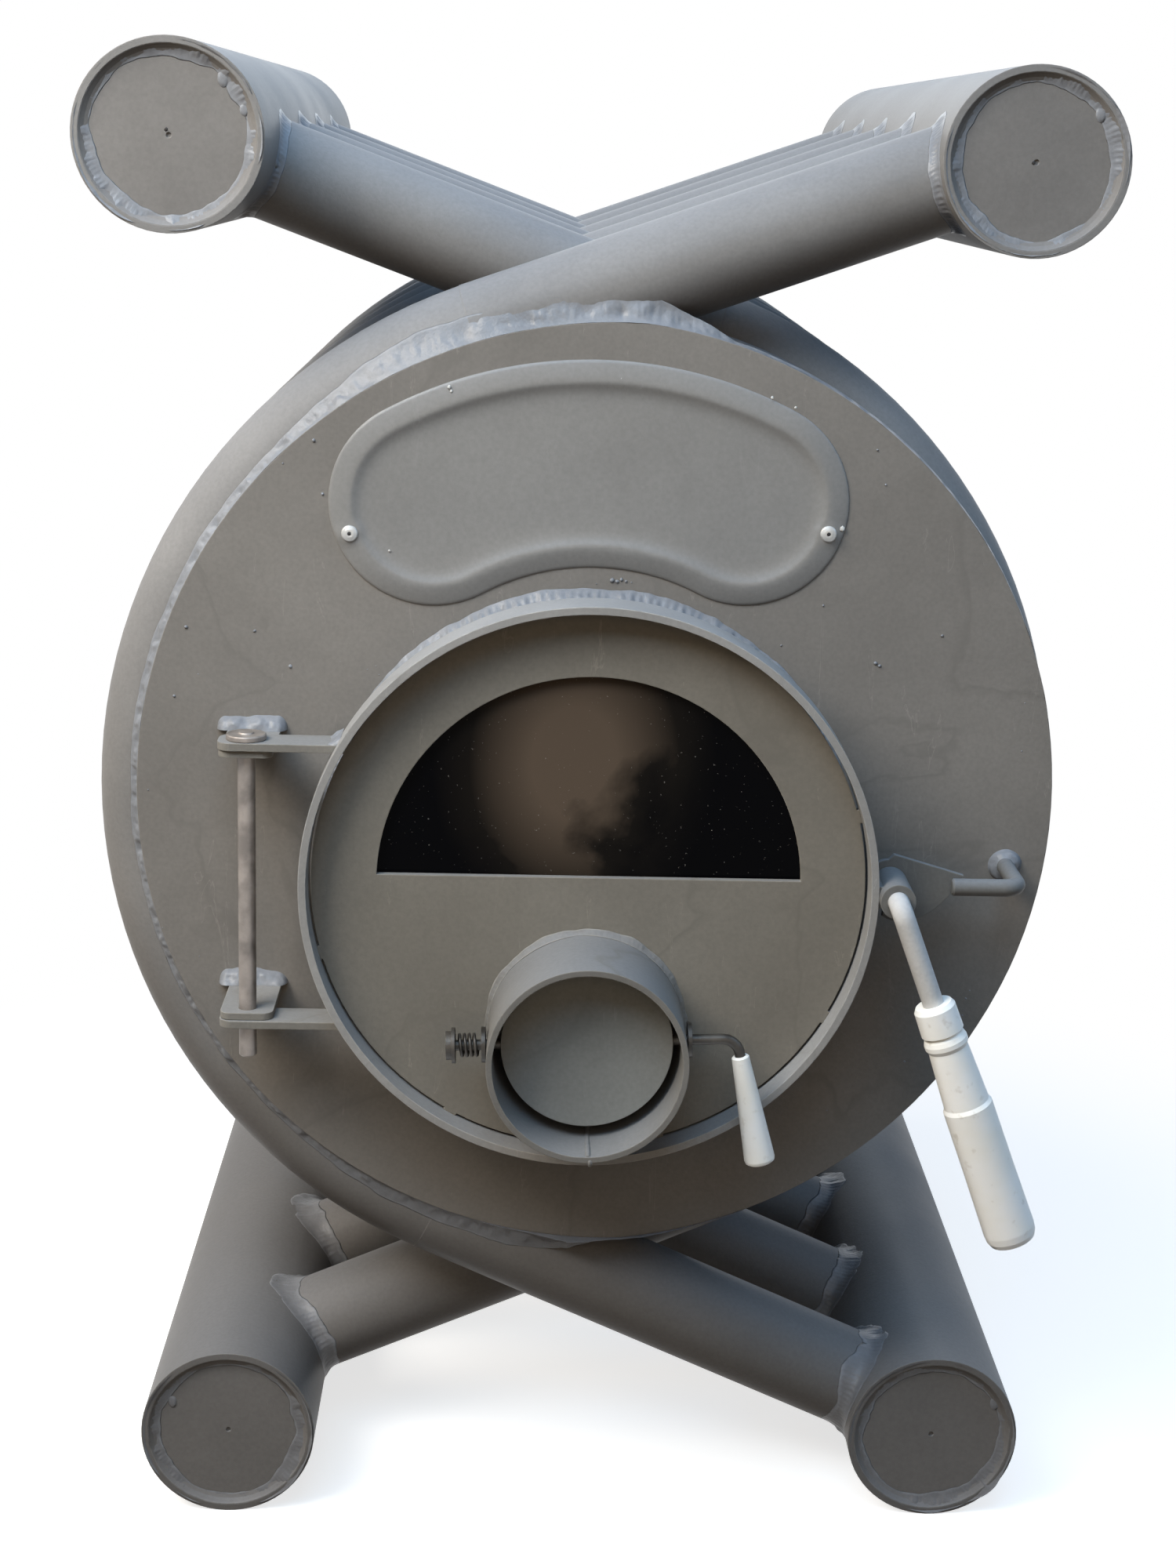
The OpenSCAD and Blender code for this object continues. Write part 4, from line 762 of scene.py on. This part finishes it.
grip_white = bpy.data.materials.new("grip_white")
node = nodes_of(grip_white)
spot = node("TexCoord").outputs["Object"]
shade = node("TexNoise", {"Vector": spot, "Scale": 40.0, "Detail": 3.0}).outputs[0]
handled = node("TexNoise", {"Vector": spot, "Scale": 150.0, "Detail": 4.0}).outputs[0]
tone = ramp(node, shade, (0.3, srgb(246, 243, 234)), (0.7, srgb(252, 251, 248)))
tone = blend(node, ramp(node, handled, (0.62, 0.0), (0.75, 0.35)), tone, srgb(176, 164, 142))
gloss = ramp(node, handled, (0.4, 0.32), (0.7, 0.5))
shader = node("BsdfPrincipled", {"Base Color": tone, "Roughness": gloss})
node("OutputMaterial", {"Surface": shader.outputs[0]})
dress(grip_white, "latch_grip", "flap_grip")

# ---------------------------------------------------------------- air intake
# A rolled pipe with a welded seam is welded to the door below the window. In it a round flap turns
# on a spring-loaded shaft with a washer on each side, moved by a small lever.

INTAKE_R, Z_INTAKE, INTAKE_POINTS = 0.0559, 0.3345, 420
intake_paint = paint("intake_paint", srgb(120, 117, 112), worn=1.0, marks=0.8)
dress(intake_paint, "intake_pipe")
dress(paint("flap_paint", srgb(134, 135, 132), marks=0.6), "flap")
shaft_steel = metal("shaft_steel", srgb(74, 70, 65), dull=0.4, shine=0.35)
dress(shaft_steel, "flap_washers", "flap_shaft")
lines = [ring_y(0, y, Z_INTAKE, INTAKE_R + out, INTAKE_POINTS)
         for y, out in ((-0.3136, 0.0), (-0.3104, 0.0026), (-0.3102, -0.0003))]
seam = [0.0008 * k for k in range(78)]
intake_welds = [
    fillet(*lines, full=0.7, lumps=0.0003, ragged=0.30, ripple=0.00012, seed=61,
           swell=lambda i: 1.0 + 0.3 * max(0.0, math.sin(2 * math.pi * i / INTAKE_POINTS))),
    wound([(0.0015, -0.3745 + along, Z_INTAKE - 0.0531) for along in seam], 0.0030,
          radii=[1 + 0.18 * wobble((0, along, 0), 210, 4) for along in seam]),
    beads([(0.0025, -0.3749, 0.2785, 0.0016), (0.0574, -0.3445, 0.3402, 0.0024)], (1.0, 0.7, 1.5)),
]
add_piece("intake_welds", intake_welds, "door", intake_paint)

# The spring has four turns and two short straight ends, and leans with the shaft.
SHAFT, COIL_R, COIL_LEN, COIL_STEPS = Vector((0, -0.3445, 0.338)), 0.0059, 0.0144, 240
leaning = Matrix.Rotation(-math.radians(2.3), 4, "Y")
coil = []
for k in range(COIL_STEPS + 1):
    x = COIL_LEN * k / COIL_STEPS
    a = 2 * math.pi * 4 * clamped((x - 0.0018) / 0.0108)
    coil.append(leaning @ Vector((-0.07324 + x, COIL_R * math.cos(a), COIL_R * math.sin(a))) + SHAFT)
spring = add_piece("wound_spring", [wound(coil, 0.0018, sides=5)], "intake_flap", shaft_steel)
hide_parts("flap_spring")

# ---------------------------------------------------------------- flue
# The steel collar at the back has a thicker foot. It holds a round steel damper on a shaft that
# turns in two cross bores of the foot and is bent into a handle.

dress(shaft_steel, "damper_shaft")
